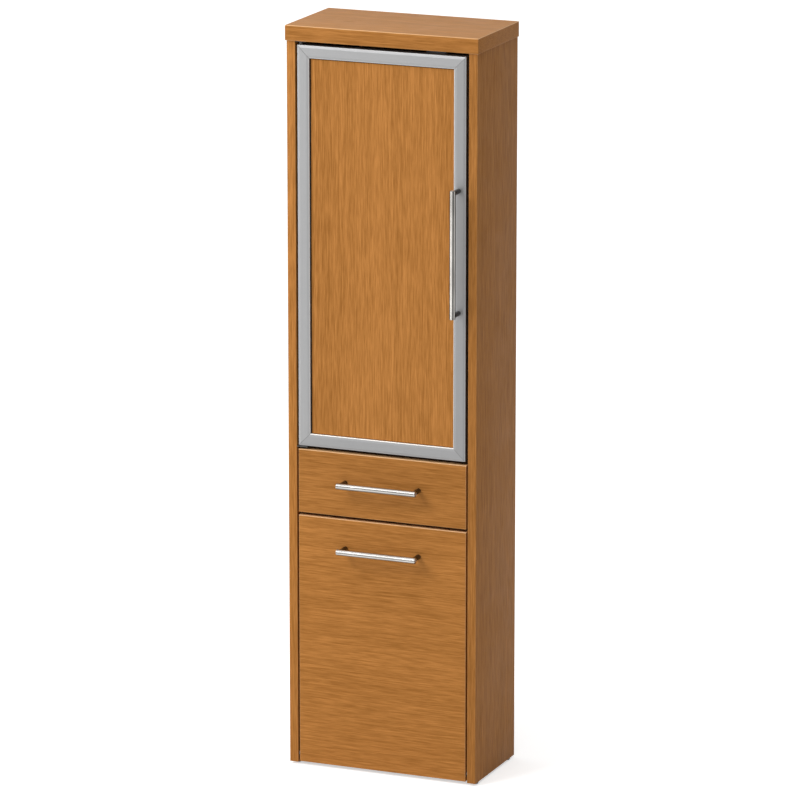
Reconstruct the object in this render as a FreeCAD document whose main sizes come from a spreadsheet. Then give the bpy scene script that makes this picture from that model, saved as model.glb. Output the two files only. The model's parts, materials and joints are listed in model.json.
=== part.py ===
import FreeCAD, Part
import os
import re

import Sketcher

# A tall, slim bathroom cabinet: a framed door over a drawer over a tilt-out laundry flap.
# Millimetres. +Z is up, the fronts face -Y, and the origin is on the floor, in the middle of the
# footprint that the body and its handles cover.

# ---------------------------------------------------------------- sizes

SIZES = {
    # carcass
    "body_width": 400,
    "body_depth": 210,
    "panel_tall": 1465,
    "side_thick": 18,
    "board_thick": 18,
    "panel_edge_round": 1.0,
    "slab_thick": 30,
    "slab_side_over": 2.5,
    "slab_front_over": 3,
    "edge_round": 1.5,
    "glide_tall": 5,
    "glide_dia": 16,
    "glide_taper": 1,
    "glide_inset": 20,
    # the three fronts and the gaps round them
    "front_thick": 18,
    "front_gap_side": 3.5,
    "flap_low": 2,
    "flap_tall": 511,
    "gap_over_flap": 6,
    "drawer_tall": 129,
    "gap_over_drawer": 7.5,
    "door_gap_top": 8,
    "door_gap_hinge": 4,
    "door_gap_free": 6,
    "door_thick": 20,
    # boards inside
    "board_setback": 2,
    "door_floor_drop": 3.5,
    "bottom_raise": 12,
    "bottom_setback": 27,
    "back_thick": 4,
    "back_inset": 14,
    "back_raise": 7,
    "groove_deep": 8,
    "fit_slack": 0.2,
    "hang_rail_tall": 80,
    "wall_hole_dia": 7,
    "wall_hole_pitch": 250,
    # loose shelves on pins
    "shelf_thick": 16,
    "shelf_end_gap": 1,
    "shelf_setback": 3,
    "pin_dia": 5,
    "pin_slack": 0.05,
    "pin_hole_deep": 10,
    "pin_in": 9.5,
    "pin_out": 8,
    "pin_inset": 35,
    "pin_pitch": 32,
    "pin_count": 11,
    "pin_first_up": 200,
    "shelf_lower_count": 1,
    "shelf_upper_count": 9,
    # cam and bolt joints
    "cam_dia": 15,
    "cam_tall": 12.5,
    "cam_slack": 0.1,
    "cam_reach": 24,
    "cam_inset": 45,
    "bolt_thread_dia": 5,
    "bolt_thread_long": 10.5,
    "bolt_shank_dia": 5.8,
    "bolt_head_dia": 7,
    "bolt_head_long": 5,
    "bolt_bore_dia": 8,
    # aluminium door frame, section seen along the bar
    "frame_wide": 25,
    "frame_wall": 1.8,
    "bevel_wide": 5,
    "bevel_deep": 1.2,
    "lip_slope_wide": 5.6,
    "lip_slope_deep": 1.0,
    "lip_deep": 5,
    "slot_wide": 5,
    "slot_deep": 6,
    "rear_lip": 2,
    "key_leg": 45,
    "key_slack": 0.2,
    "infill_thick": 4,
    "infill_in": 5,
    "seal_wide": 5.4,
    "slot_play": 0.1,
    # door pivots
    "hinge_in": 6.2,
    "hinge_deep": 6.2,
    "plate_thick": 2,
    "plate_wide": 22,
    "plate_long": 62,
    "plate_edge_gap": 0.5,
    "plate_front_gap": 1,
    "plate_screw_near": 34,
    "plate_screw_far": 52,
    "pivot_dia": 5,
    "pivot_long": 12,
    "pivot_slack": 0.05,
    "collar_dia": 8,
    "bush_dia": 8,
    "bush_long": 14,
    "bush_flange_dia": 11,
    "bush_flange": 1.2,
    "bush_play": 0.3,
    "small_screw_dia": 3.5,
    "small_screw_long": 14,
    "small_tip_gap": 1,
    "small_head_dia": 7,
    "small_head": 1.6,
    # magnetic catches
    "catch_wide": 40,
    "catch_tall": 13,
    "catch_deep": 14,
    "catch_x": 105,
    "strike_thick": 1,
    "strike_wide": 36,
    "strike_tall": 13,
    "strike_edge": 1.5,
    "catch_air": 0.3,
    # bar handles
    "bar_dia": 12,
    "bar_out": 30,
    "bar_chamfer": 0.8,
    "post_dia": 10,
    "post_saddle_slack": 0.03,
    "post_bore_deep": 14,
    "handle_screw_dia": 4,
    "handle_screw_in": 12,
    "handle_head_dia": 8,
    "handle_head": 2.4,
    "screw_play": 0.2,
    "thread_slack": 0.05,
    "short_bar_long": 168,
    "short_post_pitch": 156,
    "tall_bar_long": 254,
    "tall_post_pitch": 242,
    "tall_bar_up": 417.5,
    "tall_bar_in": 15,
    "drawer_bar_down": 60,
    "flap_bar_down": 59.5,
    # drawer box
    "drawer_side_thick": 12,
    "drawer_side_tall": 85,
    "drawer_rear_gap": 14,
    "drawer_floor_thick": 4,
    "drawer_floor_up": 8,
    "drawer_groove": 6,
    "drawer_groove_play": 0.2,
    # roller runners, across from the side panel and up from their lower flange
    "runner_up": 4,
    "runner_space": 13,
    "runner_sheet": 1.2,
    "runner_tall": 24,
    "runner_flange_low": 9,
    "runner_flange_top": 8,
    "runner_front_gap": 2,
    "runner_rear_gap": 17,
    "drawer_rail_flange": 9,
    "drawer_rail_lip": 12.2,
    "drawer_rail_top": 20.7,
    "drawer_rail_low": 2,
    "roller_dia": 17,
    "roller_wide": 6,
    "roller_bore_slack": 0.05,
    "rivet_dia": 4,
    "rivet_head_dia": 7,
    "rivet_head": 1,
    "roller_side_gap": 0.7,
    "roller_rivet_gap": 0.2,
    "roller_end_inset": 12,
    "roller_run_gap": 0.3,
    # flap pivots, stop arms and laundry bin
    "flap_pivot_up": 15,
    "flap_pivot_dia": 8,
    "flap_pivot_in": 14,
    "flap_pivot_hold": 11.5,
    "flap_pivot_hole": 12,
    "flap_bush_dia": 10,
    "flap_bush_long": 16,
    "flap_bush_flange_dia": 14,
    "flap_bush_flange": 1,
    "flap_open_angle": 32,
    "stop_reach": 120,
    "stop_start_angle": 14,
    "stop_pin_dia": 6,
    "stop_slot_slack": 0.2,
    "stop_band": 24,
    "stop_margin_angle": 7,
    "stop_away": 8,
    "stop_collar_dia": 9,
    "stop_head_dia": 11,
    "stop_head": 1.5,
    "stop_air": 0.3,
    "stop_pin_hole": 10,
    "arm_thick": 2,
    "arm_foot_wide": 16,
    "arm_foot_low": 94,
    "arm_foot_tall": 46,
    "arm_web_long": 30,
    "bin_wall": 2,
    "bin_raise": 63,
    "bin_top_gap": 64,
    "bin_side_gap": 15,
    "bin_rear_gap": 17,
    "bin_side_draft": 8,
    "bin_rear_draft": 10,
    "bin_round": 22,
    "bin_rim": 7,
    "bin_screw_in": 62,
    "bin_screw_end": 18,
    "air_row_count": 5,
    "air_first_up": 34,
    "air_last_down": 46,
    "air_slot_tall": 44,
    "air_slot_wide": 9,
    "air_slot_pitch": 28,
    "air_back_count": 9,
    "air_side_count": 3,
}

# Places that follow from the sizes; each is a formula of sizes and other places.
PLACES = {
    "x_inner": "body_width/2 - side_thick",
    "y_front": "(bar_out + bar_dia/2 - body_depth)/2",
    "y_back": "y_front + body_depth",
    "z_low": "glide_tall",
    "z_top": "glide_tall + panel_tall",
    "flap_bottom": "z_low + flap_low",
    "flap_top": "flap_bottom + flap_tall",
    "drawer_bottom": "flap_top + gap_over_flap",
    "drawer_top": "drawer_bottom + drawer_tall",
    "door_bottom": "drawer_top + gap_over_drawer",
    "door_top": "z_top - door_gap_top",
    "door_tall": "door_top - door_bottom",
    "door_left": "-x_inner + door_gap_hinge",
    "door_right": "x_inner - door_gap_free",
    "door_wide": "door_right - door_left",
    "front_left": "-x_inner + front_gap_side",
    "front_wide": "2*x_inner - 2*front_gap_side",
    "front_rear": "y_front + front_thick",
    "door_rear": "y_front + door_thick",
    "inner_front": "door_rear + board_setback",
    "back_face": "y_back - back_inset - back_thick",
    "upper_top": "door_bottom - door_floor_drop",
    "upper_low": "upper_top - board_thick",
    "lower_low": "flap_top + gap_over_flap/2 - board_thick/2",
    "lower_top": "lower_low + board_thick",
    "bottom_low": "z_low + bottom_raise",
    "bottom_front": "y_front + bottom_setback",
    "cam_axis": "board_thick/2",
    "cam_near": "inner_front + cam_inset",
    "cam_far": "back_face - cam_inset",
    "cam_near_low": "bottom_front + cam_inset",
    "pin_near": "inner_front + pin_inset",
    "pin_far": "back_face - pin_inset",
    "pin_first": "upper_top + pin_first_up",
    "slot_floor": "frame_wide - slot_deep",
    "pivot_x": "door_left + hinge_in",
    "pivot_y": "y_front + hinge_deep",
    "flap_pivot_y": "y_front + front_thick/2",
    "flap_pivot_z": "flap_bottom + flap_pivot_up",
    "stop_y": "flap_pivot_y + stop_reach*sin(stop_start_angle)",
    "stop_z": "flap_pivot_z + stop_reach*cos(stop_start_angle)",
    "runner_z": "lower_top + runner_up",
    "runner_front": "front_rear + runner_front_gap",
    "runner_rear": "back_face - runner_rear_gap",
    "runner_long": "runner_rear - runner_front",
    "drawer_side_low": "runner_z + drawer_rail_low + runner_sheet",
    "drawer_floor_low": "drawer_side_low + drawer_floor_up",
    "drawer_floor_top": "drawer_floor_low + drawer_floor_thick",
    "drawer_inner": "x_inner - runner_space - drawer_side_thick",
    "drawer_box_long": "back_face - drawer_rear_gap - front_rear",
    "roller_radius": "roller_dia/2",
    "roller_front_y": "runner_front + roller_end_inset",
    "roller_rear_y": "runner_rear - roller_end_inset",
    "roller_front_z": "runner_z + drawer_rail_top - runner_sheet - roller_run_gap - roller_radius",
    "roller_rear_z": "runner_z + runner_sheet + roller_run_gap + roller_radius",
    "tall_bar_x": "door_right - tall_bar_in",
    "tall_bar_z": "door_bottom + tall_bar_up",
    "drawer_bar_z": "drawer_top - drawer_bar_down",
    "flap_bar_z": "flap_top - flap_bar_down",
    "bin_low": "z_low + bin_raise",
    "bin_tall": "lower_low - bin_top_gap - bin_low",
    "bin_wide_top": "2*(x_inner - bin_side_gap - bin_rim)",
    "bin_wide_low": "bin_wide_top - 2*bin_side_draft",
    "bin_deep_top": "back_face - bin_rear_gap - bin_rim - front_rear",
    "bin_deep_low": "bin_deep_top - bin_rear_draft",
    "bin_screw_x": "bin_wide_top/2 - bin_screw_in",
    "air_rows_tall": "bin_tall - air_first_up - air_last_down - air_slot_tall",
}

doc = FreeCAD.newDocument("TallCabinet")
sheet = doc.addObject("Spreadsheet::Sheet", "Sizes")
for row, (alias, number) in enumerate(SIZES.items(), start=1):
    sheet.set(f"A{row}", alias)
    sheet.set(f"B{row}", str(number))
    sheet.setAlias(f"B{row}", alias)
doc.recompute()

NAME = re.compile(r"[a-z]+(?:_[a-z]+)+")


def bind(formula):
    """Write a formula of sizes and places as an expression of the sheet's cells."""
    def swap(found):
        word = found.group(0)
        if word in PLACES:
            return "(" + bind(PLACES[word]) + ")"
        return "Sizes." + word
    return NAME.sub(swap, str(formula))


def value(formula):
    """The number that a formula gives with the sheet as it stands."""
    return float(sheet.evalExpression(bind(formula)))


# ---------------------------------------------------------------- drawing helpers

X_AXIS = FreeCAD.Vector(1, 0, 0)
Y_AXIS = FreeCAD.Vector(0, 1, 0)
Z_AXIS = FreeCAD.Vector(0, 0, 1)
UPRIGHT = FreeCAD.Rotation()
HALF_TURN = FreeCAD.Rotation(Z_AXIS, 180)
Z_TO_X = FreeCAD.Rotation(Y_AXIS, 90)
Z_TO_MINUS_X = FreeCAD.Rotation(Y_AXIS, -90)
Z_TO_FRONT = FreeCAD.Rotation(X_AXIS, 90)
Z_DOWN = FreeCAD.Rotation(X_AXIS, 180)
SMALL = 1e-3
NODES = []


def turn(x_to, y_to, z_to):
    """The rotation that carries a piece's own axes to these directions."""
    return FreeCAD.Rotation(FreeCAD.Vector(*x_to), FreeCAD.Vector(*y_to), FreeCAD.Vector(*z_to), "ZXY")


def place(thing, x="0", y="0", z="0", rotation=UPRIGHT):
    """Put a piece's own origin at a place of the cabinet."""
    thing.Placement = FreeCAD.Placement(FreeCAD.Vector(), rotation)
    thing.setExpression("Placement.Base.x", bind(x))
    thing.setExpression("Placement.Base.y", bind(y))
    thing.setExpression("Placement.Base.z", bind(z))
    return thing


def keep(thing):
    """Mark an object as a sub-part of the cabinet."""
    NODES.append(thing)
    return thing


def new_body(name, x="0", y="0", z="0", rotation=UPRIGHT):
    body = doc.addObject("PartDesign::Body", name)
    body.Label = name
    return place(body, x, y, z, rotation)


def sketch(body, plane, offset="0"):
    """A sketch on one of the body's own planes, moved along the plane's normal."""
    drawing = body.newObject("Sketcher::SketchObject", body.Name + "_sketch")
    support = next(f for f in body.Origin.OriginFeatures if f.Role == plane + "_Plane")
    drawing.AttachmentSupport = [(support, "")]
    drawing.MapMode = "FlatFace"
    drawing.setExpression("AttachmentOffset.Base.z", bind(offset))
    return drawing


def constrain_point(drawing, geometry, point, x, y):
    """Hold a point of the sketch at two bound distances from the sketch's origin."""
    for kind, formula in (("DistanceX", x), ("DistanceY", y)):
        index = drawing.addConstraint(
            Sketcher.Constraint(kind, -1, 1, geometry, point, value(formula)))
        drawing.setExpression(f"Constraints[{index}]", bind(formula))


def outline(drawing, corners):
    """A closed outline of straight lines through bound corners."""
    first = drawing.GeometryCount
    spots = [FreeCAD.Vector(value(x), value(y), 0) for x, y in corners]
    count = len(corners)
    for i in range(count):
        drawing.addGeometry(Part.LineSegment(spots[i], spots[(i + 1) % count]), False)
    for i in range(count):
        drawing.addConstraint(
            Sketcher.Constraint("Coincident", first + i, 2, first + (i + 1) % count, 1))
    for i, (x, y) in enumerate(corners):
        constrain_point(drawing, first + i, 1, x, y)


def rectangle(drawing, x_low, y_low, x_high, y_high):
    outline(drawing, [(x_low, y_low), (x_high, y_low), (x_high, y_high), (x_low, y_high)])


def circle(drawing, x, y, radius):
    index = drawing.GeometryCount
    centre = FreeCAD.Vector(value(x), value(y), 0)
    drawing.addGeometry(Part.Circle(centre, Z_AXIS, value(radius)), False)
    constrain_point(drawing, index, 3, x, y)
    held = drawing.addConstraint(Sketcher.Constraint("Radius", index, value(radius)))
    drawing.setExpression(f"Constraints[{held}]", bind(radius))


def pad(body, drawing, length, backwards=False):
    feature = body.newObject("PartDesign::Pad", body.Name + "_pad")
    feature.Profile = drawing
    feature.Reversed = backwards
    feature.setExpression("Length", bind(length))
    doc.recompute()
    return feature


def pocket(body, drawing, depth, backwards=False):
    """Cut a sketch into the body, against the sketch's normal unless backwards."""
    before = body.Shape.Volume
    feature = body.newObject("PartDesign::Pocket", body.Name + "_pocket")
    feature.Profile = drawing
    feature.Reversed = backwards
    feature.setExpression("Length", bind(depth))
    doc.recompute()
    if not body.Shape.Volume < before - SMALL:
        raise RuntimeError(f"{feature.Name} cuts nothing")
    return feature


def drill(body, plane, offset, centres, radius, depth, backwards=False):
    """Blind holes of one size in one face."""
    drawing = sketch(body, plane, offset)
    for x, y in centres:
        circle(drawing, x, y, radius)
    return pocket(body, drawing, depth, backwards)


def row_of(body, feature, drawing, axis, length, count):
    """Repeat a cut in a straight row along one of its sketch's axes."""
    before = body.Shape.Volume
    row = body.newObject("PartDesign::LinearPattern", body.Name + "_row")
    row.Originals = [feature]
    row.Direction = (drawing, [axis])
    row.setExpression("Length", bind(length))
    row.setExpression("Occurrences", bind(count))
    body.Tip = row
    doc.recompute()
    if not body.Shape.Volume < before - SMALL:
        raise RuntimeError(f"{row.Name} cuts nothing")
    return row


def edges_of(feature, wanted):
    """Names of a feature's edges that a test on their bounding box accepts."""
    return [f"Edge{i}" for i, edge in enumerate(feature.Shape.Edges, start=1) if wanted(edge.BoundBox)]


def dress(body, kind, feature, wanted, size):
    """Fillet or chamfer the edges that the test accepts."""
    names = edges_of(feature, wanted)
    if not names:
        raise RuntimeError(f"{body.Name} has no edge to dress")
    dressed = body.newObject("PartDesign::" + kind, body.Name + "_" + kind.lower())
    dressed.Base = (feature, names)
    dressed.setExpression("Radius" if kind == "Fillet" else "Size", bind(size))
    doc.recompute()
    return dressed


def cylinder(name, radius, height, x="0", y="0", z="0", rotation=UPRIGHT, sweep=None):
    """A round bar along its own Z; sweep makes it a sector of that many degrees."""
    bar = doc.addObject("Part::Cylinder", name)
    bar.setExpression("Radius", bind(radius))
    bar.setExpression("Height", bind(height))
    if sweep:
        bar.setExpression("Angle", bind(sweep))
    return place(bar, x, y, z, rotation)


def box(name, length, width, height, x="0", y="0", z="0"):
    block = doc.addObject("Part::Box", name)
    block.setExpression("Length", bind(length))
    block.setExpression("Width", bind(width))
    block.setExpression("Height", bind(height))
    return place(block, x, y, z)


def fuse(name, shapes):
    joined = doc.addObject("Part::MultiFuse", name)
    joined.Shapes = shapes
    joined.Refine = True
    return joined


def cut(name, base, tool):
    left = doc.addObject("Part::Cut", name)
    left.Base = base
    left.Tool = tool
    return left


def mirror(name, source, normal=X_AXIS, base_x="0", base_z="0"):
    """The other hand of a piece, across a plane of the cabinet."""
    twin = doc.addObject("Part::Mirroring", name)
    twin.Label = name
    twin.Source = source
    twin.Normal = normal
    twin.setExpression("Base.x", bind(base_x))
    twin.setExpression("Base.z", bind(base_z))
    return twin


def group(name, members):
    """Alike small pieces that share one sub-part and stay separate solids."""
    together = doc.addObject("Part::Compound", name)
    together.Label = name
    together.Links = members
    return keep(together)


def copies(name, master, places):
    """Copies of one piece at several places, as one sub-part."""
    members = []
    for index, (x, y, z, rotation) in enumerate(places, start=1):
        link = doc.addObject("App::Link", f"{name}_{index}")
        link.LinkedObject = master
        link.LinkTransform = False
        members.append(place(link, x, y, z, rotation))
    return group(name, members)


# ---------------------------------------------------------------- carcass

def plain_board(name, x, y, z, wide, deep, tall):
    """A plain rectangular board, drawn in plan and padded up."""
    body = new_body(name, x, y, z)
    plan = sketch(body, "XY")
    rectangle(plan, "0", "0", wide, deep)
    pad(body, plan, tall)
    return keep(body)


def side_panels():
    """Both side panels: groove for the back, pin rows, joint bores and pivot holes."""
    body = new_body("side_panel_left", "-body_width/2", "y_front", "z_low")
    near = "body_depth - back_inset - back_thick - fit_slack"
    far = "body_depth - back_inset + fit_slack"
    floor = "side_thick - groove_deep"
    plan = sketch(body, "XY")
    outline(plan, [("0", "0"), ("side_thick", "0"), ("side_thick", near), (floor, near),
                   (floor, far), ("side_thick", far), ("side_thick", "body_depth"), ("0", "body_depth")])
    blank = pad(body, plan, "panel_tall")
    tall = value("panel_tall")
    dress(body, "Fillet", blank,
          lambda b: b.ZLength > tall - SMALL and b.YMax < SMALL, "panel_edge_round")

    holes = sketch(body, "YZ", "side_thick")
    for y in ("pin_near", "pin_far"):
        circle(holes, f"{y} - y_front", "pin_first - z_low", "pin_dia/2")
    first = pocket(body, holes, "pin_hole_deep")
    row_of(body, first, holes, "V_Axis", "pin_pitch*(pin_count - 1)", "pin_count")

    joints = [(y, f"{low} + cam_axis")
              for low, pair in (("bottom_low", ("cam_near_low", "cam_far")),
                                ("lower_low", ("cam_near", "cam_far")),
                                ("upper_low", ("cam_near", "cam_far")))
              for y in pair]
    drill(body, "YZ", "side_thick", [(f"{y} - y_front", f"{z} - z_low") for y, z in joints],
          "bolt_thread_dia/2 + thread_slack", "bolt_thread_long + 2*thread_slack")
    top = [(f"{y} - y_front", "panel_tall - cam_reach") for y in ("cam_near", "cam_far")]
    drill(body, "YZ", "side_thick", top, "cam_dia/2 + cam_slack", "cam_tall + cam_slack")
    drill(body, "XY", "panel_tall",
          [("side_thick - cam_axis", f"{y} - y_front") for y in ("cam_near", "cam_far")],
          "bolt_bore_dia/2", "cam_reach")
    drill(body, "YZ", "side_thick", [("flap_pivot_y - y_front", "flap_pivot_z - z_low")],
          "flap_pivot_dia/2", "flap_pivot_hole")
    drill(body, "YZ", "side_thick", [("stop_y - y_front", "stop_z - z_low")],
          "stop_pin_dia/2", "stop_pin_hole")
    keep(body)
    keep(mirror("side_panel_right", body))


def top_cover():
    """The thick slab that lies over the side panels."""
    left = "-body_width/2 - slab_side_over"
    front = "y_front - slab_front_over"
    body = new_body("top_cover", left, front, "z_top")
    plan = sketch(body, "XY")
    rectangle(plan, "0", "0", "body_width + 2*slab_side_over", "body_depth + slab_front_over")
    blank = pad(body, plan, "slab_thick")
    thick = value("slab_thick")
    deep = value("body_depth + slab_front_over")
    dress(body, "Fillet", blank,
          lambda b: b.YMin < deep - SMALL and (b.ZMin > thick - SMALL or
                                               (b.ZLength > SMALL and b.YMax < SMALL)), "edge_round")
    reach = "side_thick - cam_axis + slab_side_over"
    wide = "body_width + 2*slab_side_over"
    drill(body, "XY", "0", [(x, f"{y} - ({front})") for x in (reach, f"{wide} - ({reach})")
                            for y in ("cam_near", "cam_far")],
          "bolt_thread_dia/2 + thread_slack", "bolt_thread_long + 2*thread_slack", True)
    drill(body, "XY", "0", [(f"{x} - ({left})", f"{y} - ({front})") for x, y in plate_screw_spots()],
          "small_screw_dia/2 + thread_slack", "small_screw_long", True)
    keep(body)


def plate_screw_spots():
    """Where the screws of a door pivot plate stand, seen in plan."""
    x = "-x_inner + plate_edge_gap + plate_wide/2"
    return [(x, f"y_front + plate_front_gap + {along}")
            for along in ("plate_screw_near", "plate_screw_far")]


def fixed_board(name, front, low, near):
    """A board held between the side panels by two cam joints at each end."""
    body = new_body(name, "-x_inner", front, low)
    plan = sketch(body, "XY")
    rectangle(plan, "0", "0", "2*x_inner", f"back_face - {front}")
    pad(body, plan, "board_thick")
    rows = [f"{y} - {front}" for y in (near, "cam_far")]
    drill(body, "XY", "0", [(x, y) for x in ("cam_reach", "2*x_inner - cam_reach") for y in rows],
          "cam_dia/2 + cam_slack", "cam_tall + cam_slack", True)
    drill(body, "YZ", "0", [(y, "cam_axis") for y in rows], "bolt_bore_dia/2", "cam_reach", True)
    drill(body, "YZ", "2*x_inner", [(y, "cam_axis") for y in rows], "bolt_bore_dia/2", "cam_reach")
    return keep(body)


def inner_boards():
    fixed_board("bottom_panel", "bottom_front", "bottom_low", "cam_near_low")
    fixed_board("divider_lower", "inner_front", "lower_low", "cam_near")
    upper = fixed_board("divider_upper", "inner_front", "upper_low", "cam_near")
    drill(upper, "XY", "board_thick",
          [(f"{x} + x_inner", f"{y} - inner_front") for x, y in plate_screw_spots()],
          "small_screw_dia/2 + thread_slack", "small_screw_long")


def back_and_rail():
    """The thin back in its grooves and the rail behind it that is screwed to the wall."""
    half = "(x_inner + groove_deep - 2*fit_slack)"
    low = "z_low + back_raise"
    back = plain_board("back_panel", f"-{half}", "back_face", low,
                       f"2*{half}", "back_thick", f"z_top - ({low})")
    rail = plain_board("hanging_rail", "-x_inner", "y_back - back_inset", "z_top - hang_rail_tall",
                       "2*x_inner", "back_inset", "hang_rail_tall")
    spots = ("-wall_hole_pitch/2", "wall_hole_pitch/2")
    drill(back, "XZ", "0", [(f"{x} + {half}", f"z_top - hang_rail_tall/2 - ({low})") for x in spots],
          "wall_hole_dia/2", "back_thick")
    drill(rail, "XZ", "0", [(f"{x} + x_inner", "hang_rail_tall/2") for x in spots],
          "wall_hole_dia/2", "back_inset")


def shelves():
    """Two loose shelves and the eight pins that they lie on."""
    counts = {"shelf_lower": "shelf_lower_count", "shelf_upper": "shelf_upper_count"}
    pins = []
    for name, count in counts.items():
        level = f"pin_first + {count}*pin_pitch"
        plain_board(name, "-x_inner + shelf_end_gap", "inner_front + shelf_setback",
                    f"{level} + pin_dia/2 - pin_slack", "2*x_inner - 2*shelf_end_gap",
                    "back_face - inner_front - shelf_setback - shelf_end_gap", "shelf_thick")
        for y in ("pin_near", "pin_far"):
            pins.append(("-x_inner - pin_in", y, level, Z_TO_X))
            pins.append(("x_inner - pin_out", y, level, Z_TO_X))
    master = cylinder("shelf_pin", "pin_dia/2 - pin_slack", "pin_in + pin_out")
    copies("shelf_pins", master, pins)


def cam_joints():
    """Cam housings and the bolts that they draw in, for the three boards and the top."""
    drum = cylinder("cam_drum", "cam_dia/2", "cam_tall")
    slot = cylinder("cam_slot", "bolt_bore_dia/2", "cam_dia/2 + bolt_head_long", "-cam_dia/2", "0",
                    "cam_axis", Z_TO_X)
    housing = cut("cam_housing", drum, slot)

    bolt = new_body("cam_bolt")
    half = sketch(bolt, "XY")
    shank_end = "cam_reach - bolt_head_long"
    outline(half, [("-bolt_thread_long", "0"), ("cam_reach", "0"), ("cam_reach", "bolt_head_dia/2"),
                   (shank_end, "bolt_head_dia/2"), (shank_end, "bolt_shank_dia/2"),
                   ("0", "bolt_shank_dia/2"), ("0", "bolt_thread_dia/2"),
                   ("-bolt_thread_long", "bolt_thread_dia/2")])
    spin = bolt.newObject("PartDesign::Revolution", "cam_bolt_turned")
    spin.Profile = half
    spin.ReferenceAxis = (half, ["H_Axis"])
    spin.Angle = 360
    doc.recompute()

    housings = []
    bolts = []
    for low, near in (("bottom_low", "cam_near_low"), ("lower_low", "cam_near"), ("upper_low", "cam_near")):
        for y in (near, "cam_far"):
            housings.append(("-x_inner + cam_reach", y, low, UPRIGHT))
            housings.append(("x_inner - cam_reach", y, low, HALF_TURN))
            bolts.append(("-x_inner", y, f"{low} + cam_axis", UPRIGHT))
            bolts.append(("x_inner", y, f"{low} + cam_axis", HALF_TURN))
    in_left = turn((0, 0, -1), (0, -1, 0), (-1, 0, 0))
    in_right = turn((0, 0, -1), (0, 1, 0), (1, 0, 0))
    down = turn((0, 0, -1), (0, 1, 0), (1, 0, 0))
    for y in ("cam_near", "cam_far"):
        housings.append(("-x_inner", y, "z_top - cam_reach", in_left))
        housings.append(("x_inner", y, "z_top - cam_reach", in_right))
        bolts.append(("-x_inner - cam_axis", y, "z_top", down))
        bolts.append(("x_inner + cam_axis", y, "z_top", down))
    copies("cam_housings", housing, housings)
    copies("cam_bolts", bolt, bolts)


def floor_glides():
    """Four plastic glides under the side panels."""
    glide = doc.addObject("Part::Cone", "glide")
    glide.setExpression("Radius1", bind("glide_dia/2 - glide_taper"))
    glide.setExpression("Radius2", bind("glide_dia/2"))
    glide.setExpression("Height", bind("glide_tall"))
    x = "(body_width - side_thick)/2"
    copies("floor_glides", glide, [(sign + x, y, "0", UPRIGHT) for sign in ("-", "")
                                   for y in ("y_front + glide_inset", "y_back - glide_inset")])


# ---------------------------------------------------------------- door pivots and catches

def pivot_plate(name, low, pin_up):
    """A flat plate that carries one door pivot pin, riveted upright on it."""
    body = new_body(name, "-x_inner + plate_edge_gap", "y_front + plate_front_gap", low)
    plan = sketch(body, "XY")
    rectangle(plan, "0", "0", "plate_wide", "plate_long")
    for along in ("plate_screw_near", "plate_screw_far"):
        circle(plan, "plate_wide/2", along, "small_screw_dia/2 + screw_play")
    pad(body, plan, "plate_thick")
    x = "door_gap_hinge + hinge_in - plate_edge_gap"
    y = "hinge_deep - plate_front_gap"
    pin = sketch(body, "XY", "plate_thick" if pin_up else "0")
    circle(pin, x, y, "pivot_dia/2")
    if pin_up:
        pad(body, pin, "door_floor_drop - plate_thick + pivot_long")
        return body
    pad(body, pin, "door_gap_top - plate_thick + pivot_long", True)
    collar = sketch(body, "XY")
    circle(collar, x, y, "collar_dia/2")
    pad(body, collar, "door_gap_top - plate_thick - bush_flange - bush_play", True)
    return body


def door_pivots():
    """Plates with pins on the cabinet and the flanged bushes that turn on them in the door."""
    plates = [pivot_plate("pivot_plate_top", "z_top - plate_thick", False),
              pivot_plate("pivot_plate_low", "upper_top", True)]
    group("hinge_plates", plates)

    screw = fuse("small_screw", [
        cylinder("small_shank", "small_screw_dia/2", "small_screw_long + plate_thick - small_tip_gap"),
        cylinder("small_cap", "small_head_dia/2", "small_head", "0", "0", "-small_head")])
    spots = plate_screw_spots()
    copies("hinge_screws", screw,
           [(x, y, "z_top - plate_thick", UPRIGHT) for x, y in spots]
           + [(x, y, "upper_top + plate_thick", Z_DOWN) for x, y in spots])

    solid = fuse("bush_solid", [cylinder("bush_barrel", "bush_dia/2", "bush_long"),
                                cylinder("bush_collar", "bush_flange_dia/2", "bush_flange", "0", "0",
                                         "-bush_flange")])
    bore = cylinder("bush_bore", "pivot_dia/2 + pivot_slack", "bush_long + bush_flange", "0", "0",
                    "-bush_flange")
    bush = cut("door_bush", solid, bore)
    copies("door_bushes", bush, [("pivot_x", "pivot_y", "door_top", Z_DOWN),
                                 ("pivot_x", "pivot_y", "door_bottom", UPRIGHT)])


def door_catches():
    """Magnetic catches behind the door's rails, which also stop the door, and their plates."""
    face = "door_rear + strike_thick + catch_air"
    left = "catch_x - catch_wide/2"
    group("door_catches", [
        box("catch_top", "catch_wide", "catch_deep", "catch_tall", left, face, "z_top - catch_tall"),
        box("catch_low", "catch_wide", "catch_deep", "catch_tall", left, face, "upper_top")])
    left = "catch_x - strike_wide/2"
    group("door_strikes", [
        box("strike_top", "strike_wide", "strike_thick", "strike_tall", left, "door_rear",
            "door_top - strike_edge - strike_tall"),
        box("strike_low", "strike_wide", "strike_thick", "strike_tall", left, "door_rear",
            "door_bottom + strike_edge")])


# ---------------------------------------------------------------- door

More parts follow.
